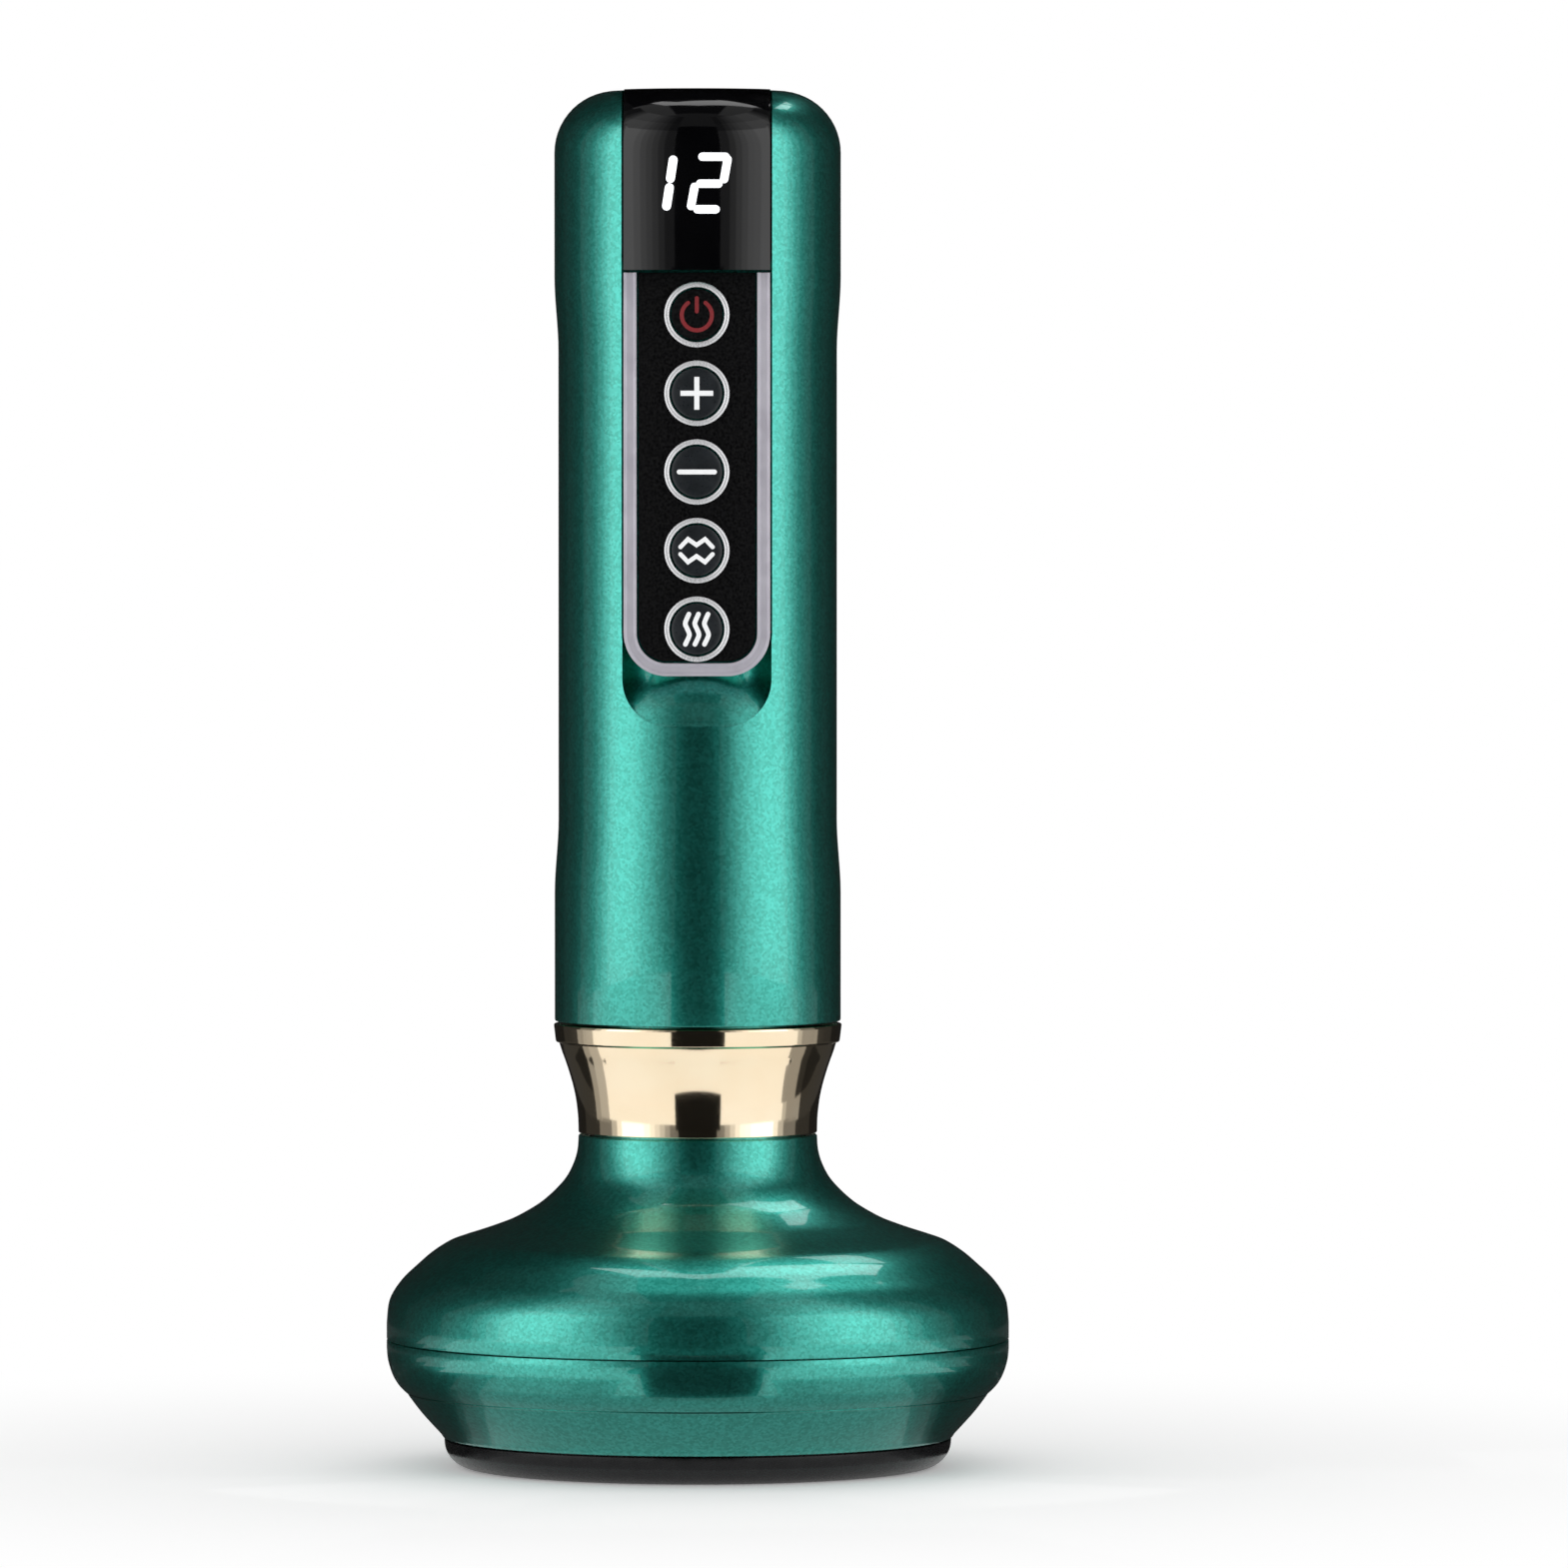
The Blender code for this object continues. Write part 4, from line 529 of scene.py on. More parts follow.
def panel_trim():
    """The strip with a bead along both edges, pushed and spun round the U."""
    section = [(-1.0, STRIP_BACK), (-1.0, 18.52)]
    section += arc((-0.76, 18.52), 0.24, 180, 20, 6)
    section += [(-0.4, 18.46), (0.4, 18.46)]
    section += arc((0.76, 18.52), 0.24, 160, 0, 6)
    section += [(1.0, STRIP_BACK)]
    middle = STRIP_HALF - 1.0
    trim = draw("trim", [(across - middle, -depth, STRIP_HIGH) for across, depth in section])
    bpy.ops.mesh.edge_face_add()
    corner_x = STRIP_HALF - STRIP_CORNER
    corner_z = STRIP_LOW + STRIP_CORNER
    sides = (STRIP_HIGH - corner_z) * MM
    bpy.ops.mesh.extrude_region_move(TRANSFORM_OT_translate={"value": (0, 0, -sides)})
    corner = {"steps": 16, "angle": math.pi / 2, "axis": (0, 1, 0)}
    bpy.ops.mesh.spin(center=(-corner_x * MM, 0, corner_z * MM), **corner)
    bpy.ops.mesh.extrude_region_move(TRANSFORM_OT_translate={"value": (2 * corner_x * MM, 0, 0)})
    bpy.ops.mesh.spin(center=(corner_x * MM, 0, corner_z * MM), **corner)
    bpy.ops.mesh.extrude_region_move(TRANSFORM_OT_translate={"value": (0, 0, sides)})
    close()
    return trim


def keypad_panel():
    """The flat panel with its five round holes."""
    outline = rounded_u(PANEL_HALF, STRIP_LOW + 2.3, STRIP_HIGH, PANEL_CORNER, 10)
    panel = slab("keypad_panel_face", outline, PANEL_BACK, PANEL_FACE)
    soften(panel, PANEL_EDGE, 50)
    for z in BUTTON_HEIGHTS.values():
        hole = [(0, 17), (4.9, 17), (4.9, 18.3), (BEZEL_OUTER, 18.5), (0, 18.5)]
        carve(panel, turn("hole", hole, PANEL_HOLE_STEPS, (0, z), True))
    return panel


def button_bezel(z):
    """A ring with a rounded rim, which stands on the panel round its hole."""
    section = [(BEZEL_INNER, STRIP_BACK), (4.6, STRIP_BACK), (4.6, 18.69), (4.96, 18.69),
               (BEZEL_OUTER, 18.76), (4.98, 18.9), (4.9, 19.01), (4.76, 19.08), (4.6, 19.093), (4.42, 19.07),
               (4.28, 18.99), (4.21, 18.87), (BEZEL_INNER, 18.7), (BEZEL_INNER, STRIP_BACK)]
    return turn("bezel", section, BUTTON_STEPS, (0, z), True)


def dome(offset=0.0, edge=CAP_RADIUS, steps=10):
    """Points over a button's domed face, from its edge to its middle."""
    ball = (CAP_RADIUS ** 2 + CAP_CROWN ** 2) / (2 * CAP_CROWN)
    points = []
    for step in range(steps + 1):
        radius = edge * (1 - step / steps)
        height = CAP_FACE + CAP_CROWN - ball + math.sqrt(ball ** 2 - radius ** 2)
        points.append((radius, height + offset))
    return points


def button_cap(z):
    """A cap with its stem and a domed face."""
    section = [(0, CAP_BACK), (1.3, CAP_BACK), (1.3, CAP_FLANGE), (3.75, CAP_FLANGE), (CAP_RADIUS, 17.84),
               (CAP_RADIUS, 18.6), (3.86, 18.72), (3.76, 18.79)]
    section += dome(0, 3.62)
    return turn("cap", section, BUTTON_STEPS, (0, z), True)


def mark_skin(z):
    """A thin layer over a cap's dome, which cuts the printed strokes to its curve."""
    section = [(0, MARK_BASE), (MARK_REACH, MARK_BASE)] + dome(MARK_PROUD, MARK_REACH)
    return turn("skin", section, BUTTON_STEPS, (0, z), True)


def on_cap(name, lines, width, z):
    """Printed strokes that lie on a cap's dome, each its own solid."""
    printed = []
    for index, line in enumerate(lines):
        outline = stroke([(x, z + up) for x, up in line], width)
        mark = slab(f"{name}_{index + 1}", outline, MARK_BACK, MARK_FRONT)
        carve(mark, mark_skin(z), "INTERSECT")
        printed.append(mark)
    return printed


def plus_sign(z):
    """Two crossed bars as one outline."""
    long, half = 2.5, 0.39
    corners = [(half, half), (half, long), (-half, long), (-half, half), (-long, half), (-long, -half),
               (-half, -half), (-half, -long), (half, -long), (half, -half), (long, -half), (long, half)]
    sign = slab("mark_plus", [(x, z + up) for x, up in corners], MARK_BACK, MARK_FRONT)
    carve(sign, mark_skin(z), "INTERSECT")
    return [sign]


def button_marks():
    """Generic signs: power, plus, minus, waves up and down, and heat."""
    heights = BUTTON_HEIGHTS
    ring = arc((0, -0.1), 2.3, 125, 415, 36)
    zigzag = [(-2.5, 0.55), (-1.35, 1.75), (-0.05, 0.85), (1.25, 1.75), (2.4, 0.55)]
    wave = smooth_line([(0.24, 2.3), (-0.2, 1.3), (-0.3, 0.75), (0.0, 0.05), (0.3, -0.7), (0.2, -1.25),
                        (-0.3, -2.3)], 6)
    return {
        "power": on_cap("mark_power", [ring, [(0, 0.5), (0, 2.5)]], 0.62, heights["power"]),
        "plus": plus_sign(heights["plus"]),
        "minus": on_cap("mark_minus", [[(-2.7, 0), (2.7, 0)]], 0.74, heights["minus"]),
        "mode": on_cap("mark_mode", [zigzag, [(x, -up) for x, up in zigzag]], 0.66, heights["mode"]),
        "heat": on_cap("mark_heat", [[(x + shift, up) for x, up in wave] for shift in (-1.46, 0, 1.46)],
                       0.72, heights["heat"]),
    }


def charging_inlet():
    """A round-ended socket with its tongue."""
    socket = upright("inlet", slot_outline(*INLET_SHELL, INLET_DEPTH), INLET_LOW, INLET_TOP)
    soften(socket, INLET_EDGE, 50)
    carve(socket, upright("socket_space", slot_outline(*INLET_MOUTH, INLET_DEPTH), 205.6, 214))
    tongue = rectangle(TONGUE_HALF, -INLET_DEPTH - TONGUE_HALF_HEIGHT, -INLET_DEPTH + TONGUE_HALF_HEIGHT)
    carve(socket, upright("inlet_tongue", tongue, 205.2, 210.6), "UNION")
    return socket


def gold_collar():
    """The flare, and the band above it, which leans outwards a little."""
    flare = [(18.4, 51.75), (18.47, 54), (18.75, 56.5), (19.15, 58.5), (19.7, 60.5), (20.35, 62.5),
             (20.9, 64.0), (21.25, 65.1)]
    band = [(21.35, 65.45), (21.6, 65.56), (21.78, 65.62), (21.88, 65.74), (21.91, 65.85), (21.93, 66.0),
            (22.17, 68.0), (22.19, 68.14), (22.14, 68.32), (22.0, COLLAR_TOP)]
    section = [(FOOT_HOLE, COLLAR_LOW), (18.3, COLLAR_LOW)] + smooth_line(flare, 4) + band
    section += [(FOOT_HOLE, COLLAR_TOP), (FOOT_HOLE, COLLAR_LOW)]
    return turn("collar", section, HEAD_STEPS)


def bell_cover():
    """The upper cover, with the neck that passes up through the collar."""
    bell = [(HEAD_RADIUS, 22.3), (47.7, 25.2), (46.9, 27.1), (45.4, 29.1), (43.5, 30.9), (41.2, 32.9),
            (38.6, 34.6), (36.4, 35.45), (33.3, 36.45), (30.6, 37.4), (28.5, 38.25), (26.0, 39.6),
            (23.9, 41.0), (21.8, 42.9), (20.2, 44.8), (19.1, 47.0), (18.55, 49.0), (18.4, 51.1)]
    neck = [(18.2, 51.3), (16.4, 51.3), (16.4, 73.2), (18.6, 73.2), (18.6, 75.2), (14.2, 75.2), (14.2, 46.5)]
    inside = [(16.6, 42.7), (20.6, 39.1), (26.2, 36.2), (35.0, 33.0), (42.4, 28.0), (44.9, 25.0),
              (44.9, 21.4), (44.9, 17.2), (45.7, 17.2), (45.7, SEAM_HIGH)]
    section = [(45.7, SEAM_HIGH), (47.86, SEAM_HIGH), (47.96, 19.82), (HEAD_RADIUS, 19.95)]
    return turn("bell", section + smooth_line(bell, 5) + neck + inside, HEAD_STEPS)


def lower_ring():
    """The lower cover. Its crease is a slot that slopes down as it goes in, so it looks dark."""
    below_seam = [(HEAD_RADIUS, 18.4), (47.8, 16.5), (47.15, 14.4), (46.3, 12.9), (45.42, 11.93)]
    crease = [(45.25, 11.77), (44.1, 11.61), (44.1, 11.44), (45.02, 11.57), (44.96, 11.52)]
    below_crease = [(44.8, 11.38), (44.3, 10.62), (42.75, 8.6), (41.1, 6.75), (39.7, 5.25)]
    inside = [(39.35, 4.72), (39.2, 4.6), (37.4, 4.6), (39.0, 6.6), (42.2, 10.6), (43.4, 12.1), (44.0, 13.6),
              (44.0, 15.1), (38.0, 15.1), (38.0, 16.6), (46.0, 16.6), (46.0, SEAM_LOW)]
    section = [(46.0, SEAM_LOW), (47.86, SEAM_LOW), (47.96, 19.58), (HEAD_RADIUS, 19.45)]
    section += smooth_line(below_seam, 5) + crease + smooth_line(below_crease, 3) + inside
    return turn("lower_ring", section, HEAD_STEPS)


def contact_plate():
    """Black underside: a trough between two lands, with a raised lip round each socket."""
    section = [(23.0, 0.35), (23.1, 0.1), (23.35, 0.0), (23.7, 0.0), (24.1, 0.1), (24.7, 0.5), (25.4, 1.05),
               (26.2, 1.42), (27.2, 1.5), (31.2, 1.5), (32.2, 1.42), (32.9, 1.05), (33.5, 0.5), (33.95, 0.1),
               (34.3, 0.0)]
    section += arc((35.0, 4.1), 4.1, -90, 0, 12)
    section += [(39.1, 4.3), (36.7, 4.3), (36.7, 5.5), (23.0, 5.5), (23.0, 0.35)]
    plate = turn("plate", section, HEAD_STEPS)
    # A slight turn keeps the plate's edges off those of the sockets
    bpy.ops.object.mode_set(mode="EDIT")
    bpy.ops.mesh.select_all(action="SELECT")
    bpy.ops.transform.rotate(value=math.radians(PLATE_TWIST), orient_axis="Z", center_override=(0, 0, 0))
    bpy.ops.object.mode_set(mode="OBJECT")
    lip = [(4.36, 3.7), (4.5, 2.9), (4.78, 1.5), (4.92, 1.08), (5.08, 0.94), (5.4, 0.92), (5.75, 1.0),
           (6.0, 1.25), (6.05, 1.7), (6.05, 4.9), (4.7, 4.9), (4.48, 4.2), (4.36, 3.7)]
    first = (BALL_CIRCLE, 0)
    ball_turns = [index / BALL_COUNT for index in range(BALL_COUNT)]
    pillar_turns = [place / BALL_COUNT for place in (0.5, 3.5, 6.5)]
    pillar = turn("pillar", post(PILLAR_RADIUS, 4.4, PILLAR_TOP), SMALL_STEPS, first)
    carve(plate, all_round(pillar, pillar_turns), "UNION")
    hole = turn("hole", post(SOCKET_RADIUS, -1, 9), SOCKET_STEPS, first)
    carve(plate, all_round(hole, ball_turns))
    carve(plate, all_round(turn("lip", lip, SOCKET_STEPS, first), ball_turns), "UNION")
    return plate


def massage_ball():
    """A cube cut into facets and blown up to a ball, in the first socket."""
    pick()
    place = (BALL_CIRCLE * MM, 0, BALL_HEIGHT * MM)
    bpy.ops.mesh.primitive_cube_add(size=2 * BALL_RADIUS * MM, location=place)
    ball = bpy.context.object
    ball.name = ball.data.name = "ball_1_steel"
    bpy.ops.object.transform_apply(location=True, rotation=True, scale=True)
    bpy.ops.object.mode_set(mode="EDIT")
    bpy.ops.mesh.select_all(action="SELECT")
    bpy.ops.mesh.subdivide(number_cuts=15)
    bpy.ops.transform.tosphere(value=1)
    close()
    middle = Vector((BALL_CIRCLE, 0, BALL_HEIGHT)) * MM
    blown_up = (ball.data.vertices[0].co - middle).length
    bpy.ops.object.mode_set(mode="EDIT")
    bpy.ops.mesh.select_all(action="SELECT")
    bpy.ops.transform.resize(value=(BALL_RADIUS * MM / blown_up,) * 3, center_override=middle)
    bpy.ops.object.mode_set(mode="OBJECT")
    return ball


def suction_cup():
    """The bowl with its lip, its flange and a nipple over each air hole."""
    section = [(0, 9.4), (8, 9.4), (13.0, 9.36), (15.5, 9.1), (17.2, 8.5), (18.5, 7.5), (19.2, 6.2),
               (19.5, 4.5), (19.75, 2.5), (19.95, 1.0), (20.1, 0.35), (20.35, 0.1), (20.7, 0.0), (22.2, 0.0),
               (22.55, 0.12), (22.7, 0.4), (22.7, 10.2), (26.7, 10.2), (26.7, 11.4), (0, 11.4)]
    cup = turn("cup", section, HEAD_STEPS)
    for place in AIR_HOLES:
        carve(cup, turn("nipple", post(NIPPLE_RADIUS, 10.4, 16.5), SMALL_STEPS, place), "UNION")
        air_way = [(0, 8), (1.0, 8), (1.0, 9.4), (0.7, 9.75), (0.7, 18), (0, 18)]
        carve(cup, turn("air_way", air_way, SMALL_STEPS, place))
    return cup


class Finish:
    """A procedural material on one Principled shader, built node by node."""

    def __init__(self, name, colour, roughness, metallic=0.0, **settings):
        self.material = bpy.data.materials.new(name)
        self.material.use_nodes = True
        self.tree = self.material.node_tree
        self.surface = self.tree.nodes["Principled BSDF"]
        self.place = self.tree.nodes.new("ShaderNodeTexCoord").outputs["Object"]
        self.set(self.surface, {"Base Color": (*colour, 1), "Roughness": roughness, "Metallic": metallic})
        self.set(self.surface, settings)

    def set(self, node, values):
        for socket, value in values.items():
            node.inputs[socket.replace("_", " ")].default_value = value

    def node(self, kind, **values):
        node = self.tree.nodes.new(kind)
        self.set(node, values)
        return node

    def join(self, output, target):
        self.tree.links.new(output, target)

    def noise(self, scale, detail, stretch=(1, 1, 1)):
        """Cloudy pattern with a number of lumps a metre."""
        mapping = self.node("ShaderNodeMapping", Scale=stretch)
        self.join(self.place, mapping.inputs["Vector"])
        texture = self.node("ShaderNodeTexNoise", Scale=scale, Detail=detail)
        self.join(mapping.outputs["Vector"], texture.inputs["Vector"])
        return texture.outputs["Fac"]

    def cells(self, scale):
        """Small cells, each with its own random colour."""
        texture = self.node("ShaderNodeTexVoronoi", Scale=scale)
        self.join(self.place, texture.inputs["Vector"])
        return texture

    def tones(self, pattern, dark, light, low=0.35, high=0.65):
        """Colour between two tones by a pattern."""
        ramp = self.node("ShaderNodeValToRGB")
        ramp.color_ramp.elements[0].position = low
        ramp.color_ramp.elements[0].color = (*dark, 1)
        ramp.color_ramp.elements[1].position = high
        ramp.color_ramp.elements[1].color = (*light, 1)
        self.join(pattern, ramp.inputs["Fac"])
        self.join(ramp.outputs["Color"], self.surface.inputs["Base Color"])

    def spread(self, pattern, low, high):
        """Roughness between two numbers by a pattern."""
        spread = self.node("ShaderNodeMapRange")
        self.set(spread, {"From Min": 0.3, "From Max": 0.7, "To Min": low, "To Max": high})
        self.join(pattern, spread.inputs["Value"])
        self.join(spread.outputs["Result"], self.surface.inputs["Roughness"])

    def grain(self, pattern, height, strength=1.0):
        """Fine relief of a height in millimetres."""
        bump = self.node("ShaderNodeBump", Strength=strength, Distance=height * MM)
        self.join(pattern, bump.inputs["Height"])
        self.join(bump.outputs["Normal"], self.surface.inputs["Normal"])


def metallic_paint():
    """Green lacquer with fine metal flakes under a smooth clear coat."""
    paint = Finish(
        "green_metallic_paint", (0.04, 0.43, 0.35), 0.3, 0.97, Coat_Weight=1.0, Coat_Roughness=0.04,
    )
    flakes = paint.cells(2600)
    split = paint.node("ShaderNodeSeparateColor")
    paint.join(flakes.outputs["Color"], split.inputs["Color"])
    paint.tones(split.outputs["Red"], (0.024, 0.35, 0.28), (0.05, 0.49, 0.41), 0.1, 0.95)
    paint.spread(paint.noise(900, 2), 0.28, 0.33)
    paint.grain(paint.noise(2200, 2), 0.0022, 0.55)
    return paint.material


def gold_plate():
    """Pale polished gold of the collar, faintly brushed."""
    gold = Finish("champagne_gold_plate", (1.0, 0.83, 0.59), 0.08, 1.0)
    gold.tones(gold.noise(120, 2), (0.98, 0.81, 0.57), (1.0, 0.85, 0.62))
    gold.spread(gold.noise(2200, 3, (1, 1, 6)), 0.05, 0.1)
    return gold.material


def trim_silver():
    """Pale silver lacquer of the strip round the panel."""
    silver = Finish("trim_silver", (0.55, 0.53, 0.59), 0.38, 0.2)
    silver.tones(silver.noise(260, 2), (0.51, 0.49, 0.55), (0.59, 0.57, 0.63))
    silver.spread(silver.noise(3000, 3), 0.32, 0.44)
    return silver.material


def bezel_silver():
    """Brighter satin plating of the button rings."""
    silver = Finish("bezel_silver", (0.86, 0.86, 0.88), 0.26, 0.4)
    silver.tones(silver.noise(300, 2), (0.82, 0.82, 0.84), (0.9, 0.9, 0.92))
    silver.spread(silver.noise(3000, 3), 0.22, 0.34)
    return silver.material


def piano_black():
    """Deep gloss black of the window."""
    gloss = Finish("piano_black_window", (0.0015, 0.0015, 0.002), 0.08)
    gloss.tones(gloss.noise(90, 2), (0.001, 0.001, 0.0014), (0.002, 0.002, 0.0025))
    gloss.spread(gloss.noise(700, 3), 0.05, 0.09)
    return gloss.material


def grained_black():
    """Dull black of the keypad panel, with a fine grain."""
    matt = Finish("grained_black_panel", (0.004, 0.004, 0.005), 0.5, 0.0, Specular_IOR_Level=0.07)
    matt.tones(matt.noise(2400, 2), (0.0015, 0.0015, 0.002), (0.007, 0.007, 0.0075))
    matt.spread(matt.noise(2400, 2), 0.42, 0.6)
    matt.grain(matt.noise(2400, 2), 0.02)
    return matt.material


def cap_black():
    """Dark satin grey of the button caps."""
    cap = Finish("satin_black_cap", (0.014, 0.017, 0.021), 0.3, 0.0, Specular_IOR_Level=0.4)
    cap.tones(cap.noise(420, 2), (0.011, 0.014, 0.017), (0.017, 0.021, 0.025))
    cap.spread(cap.noise(2500, 3), 0.26, 0.36)
    return cap.material


def contact_black():
    """Satin black of the plate under the head."""
    satin = Finish("satin_black_plate", (0.007, 0.007, 0.008), 0.26, 0.0, Specular_IOR_Level=0.48)
    satin.tones(satin.noise(500, 3), (0.005, 0.005, 0.006), (0.009, 0.009, 0.01))
    satin.spread(satin.noise(1800, 3), 0.22, 0.32)
    satin.grain(satin.noise(2600, 2), 0.004)
    return satin.material


def cup_black():
    """Soft black of the cup."""
    soft = Finish("soft_black_cup", (0.007, 0.007, 0.008), 0.5)
    soft.tones(soft.noise(400, 3), (0.005, 0.005, 0.006), (0.01, 0.01, 0.011))
    soft.spread(soft.noise(1500, 3), 0.42, 0.56)
    return soft.material


def ball_steel():
    steel = Finish("polished_steel_ball", (0.78, 0.78, 0.79), 0.12, 1.0)
    steel.tones(steel.noise(600, 2), (0.74, 0.74, 0.75), (0.82, 0.82, 0.83))
    steel.spread(steel.noise(4000, 3), 0.09, 0.16)
    return steel.material


def screw_steel():
    steel = Finish("plated_steel", (0.6, 0.6, 0.62), 0.26, 1.0)
    steel.tones(steel.noise(900, 2), (0.52, 0.52, 0.54), (0.66, 0.66, 0.68))
    steel.spread(steel.noise(3000, 3, (1, 1, 5)), 0.2, 0.34)
    return steel.material


def moulded(name, dark, light, roughness, bump=0.006, scale=1800):
    """Plain moulded part: slight tone changes, a fine moulded skin."""
    plastic = Finish(name, light, roughness)
    plastic.tones(plastic.noise(240, 3), dark, light)
    plastic.spread(plastic.noise(scale, 3), roughness - 0.06, roughness + 0.08)
    plastic.grain(plastic.noise(scale * 1.4, 2), bump)
    return plastic.material


def printed_mark(name, colour, glow=0.0):
    """Ink or lit segments: a flat colour, slightly uneven, that can glow."""
    ink = Finish(name, colour, 0.4, 0.0, Coat_Weight=0.3, Coat_Roughness=0.1)
    dim = tuple(value * 0.93 for value in colour)
    ink.tones(ink.noise(1800, 2), dim, colour)
    ink.spread(ink.noise(2600, 2), 0.34, 0.46)
    if glow:
        ink.set(ink.surface, {"Emission Color": (*colour, 1), "Emission Strength": glow})
    return ink.material


def dress(piece, body, finish, slot, *nodes, smooth_to=32):
    """Gives a finished piece its smooth sides, finish and body, and hides the imported nodes it stands for.
    """
    pick(piece)
    bpy.ops.object.shade_smooth_by_angle(angle=math.radians(smooth_to))
    piece.data.materials.clear()
    piece.data.materials.append(finish)
    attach(piece, body)
    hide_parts(*nodes)


def make_handle(paint, gloss, trim_lacquer, panel_black, glow):
    """Both halves, the window with its lit number, the strip and the panel."""
    rear = handle_tube()
    front = handle_front(rear)
    part_at(rear, 1)
    dress(front, "housing", paint, "green_paint", "front_shell")
    dress(rear, "housing", paint, "green_paint", "rear_shell")
    dress(display_window(), "housing", gloss, "black_gloss", "display_window")
    for segment in lit_digits():
        dress(segment, "housing", glow, "black_gloss", "display_window")
    dress(panel_trim(), "housing", trim_lacquer, "silver_trim", "panel_trim")
    dress(keypad_panel(), "housing", panel_black, "black_matt", "keypad_panel")


def make_buttons(silver, cap, power_cap, white_ink_painted_glow, red_ink):
    """Five rings and five caps with their signs. The power button is modelled and the others are copies."""
    first = BUTTON_HEIGHTS["power"]
    bezel = button_bezel(first)
    button = button_cap(first)
    marks = button_marks()
    for name, z in BUTTON_HEIGHTS.items():
        shift = (0, 0, z - first)
        ring = bezel if name == "power" else twin(bezel, f"bezel_ring_{name}", shift)
        face = button if name == "power" else twin(button, f"button_{name}", shift)
        dress(ring, "housing", silver, "silver_trim", f"bezel_{name}")
        dress(face, f"{name}_button", power_cap if name == "power" else cap, "cap_black", f"cap_{name}")
        ink = red_ink if name == "power" else white_ink_painted_glow
        for mark in marks[name]:
            dress(mark, f"{name}_button", ink, "cap_black", f"cap_{name}")
    bezel.name = bezel.data.name = "bezel_ring_power"
    button.name = button.data.name = "button_power"


def make_head(paint, gold, plate_black, soft_black, steel):
    """Collar, covers, plate, cup and balls."""
    dress(gold_collar(), "housing", gold, "gold_plate", "gold_collar")
    dress(bell_cover(), "housing", paint, "green_paint", "head_upper_cover")
    dress(lower_ring(), "housing", paint, "green_paint", "head_lower_ring")
    dress(contact_plate(), "housing", plate_black, "black_matt", "contact_plate")
    dress(suction_cup(), "housing", soft_black, "black_matt", "suction_cup")
    ball = massage_ball()
    balls = [ball] + [
        twin(ball, f"ball_{index}_steel", angle=math.tau * (index - 1) / BALL_COUNT)
        for index in range(2, BALL_COUNT + 1)
    ]
    for index, sphere in enumerate(balls, 1):
        dress(sphere, f"ball_{index}", steel, "ball_steel", f"massage_ball_{index}", smooth_to=60)


def finish_inner_parts(finishes):
    """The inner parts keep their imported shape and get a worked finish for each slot."""
    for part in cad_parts.values():
        if part.hide_render:
            continue
        for slot in part.material_slots:
            wanted = slot.material.name.split(".")[0]
            slot.material = finishes.get(wanted, finishes["grey_plastic"])


def floor():
    """White floor: it keeps the shadow near the object and turns plain white further out."""
    pick()
    bpy.ops.mesh.primitive_plane_add(size=FLOOR_SIZE, location=(0, 0, 0))
    ground = bpy.context.object
    ground.name = ground.data.name = "floor"
    bpy.ops.object.transform_apply(location=True, rotation=True, scale=True)
    white = Finish(
        "white_floor", (0.93, 0.93, 0.93), 0.7, Emission_Color=(1, 1, 1, 1), Emission_Strength=0.24,
    )
    white.tones(white.noise(3, 2), (0.92, 0.92, 0.92), (0.94, 0.94, 0.94))
    reach = white.node("ShaderNodeVectorMath")
    reach.operation = "LENGTH"
    white.join(white.place, reach.inputs[0])
    share = white.node("ShaderNodeMapRange")
    share.interpolation_type = "SMOOTHSTEP"
    white.set(share, {"From Min": SHADOW_NEAR, "From Max": SHADOW_FAR, "To Min": 0.0, "To Max": 1.0})
    white.join(reach.outputs["Value"], share.inputs["Value"])
    seen = white.node("ShaderNodeMath")
    seen.operation = "MULTIPLY"
    white.join(share.outputs["Result"], seen.inputs[0])
    white.join(seen_rays(white.tree), seen.inputs[1])
    glow = white.node("ShaderNodeEmission", Color=(1, 1, 1, 1), Strength=1.0)
    blend = white.node("ShaderNodeMixShader")
    white.join(seen.outputs["Value"], blend.inputs["Fac"])
    white.join(white.surface.outputs["BSDF"], blend.inputs[1])
    white.join(glow.outputs["Emission"], blend.inputs[2])
    white.join(blend.outputs["Shader"], white.tree.nodes["Material Output"].inputs["Surface"])
    ground.data.materials.append(white.material)


def seen_rays(tree):
    """1 for camera, glossy and transmission rays, 0 for the light that falls on the object."""
    light_path = tree.nodes.new("ShaderNodeLightPath")
    first = tree.nodes.new("ShaderNodeMath")
    first.operation = "MAXIMUM"
    second = tree.nodes.new("ShaderNodeMath")
    second.operation = "MAXIMUM"
    tree.links.new(light_path.outputs["Is Camera Ray"], first.inputs[0])
    tree.links.new(light_path.outputs["Is Glossy Ray"], first.inputs[1])
    tree.links.new(first.outputs["Value"], second.inputs[0])
    tree.links.new(light_path.outputs["Is Transmission Ray"], second.inputs[1])
    return second.outputs["Value"]


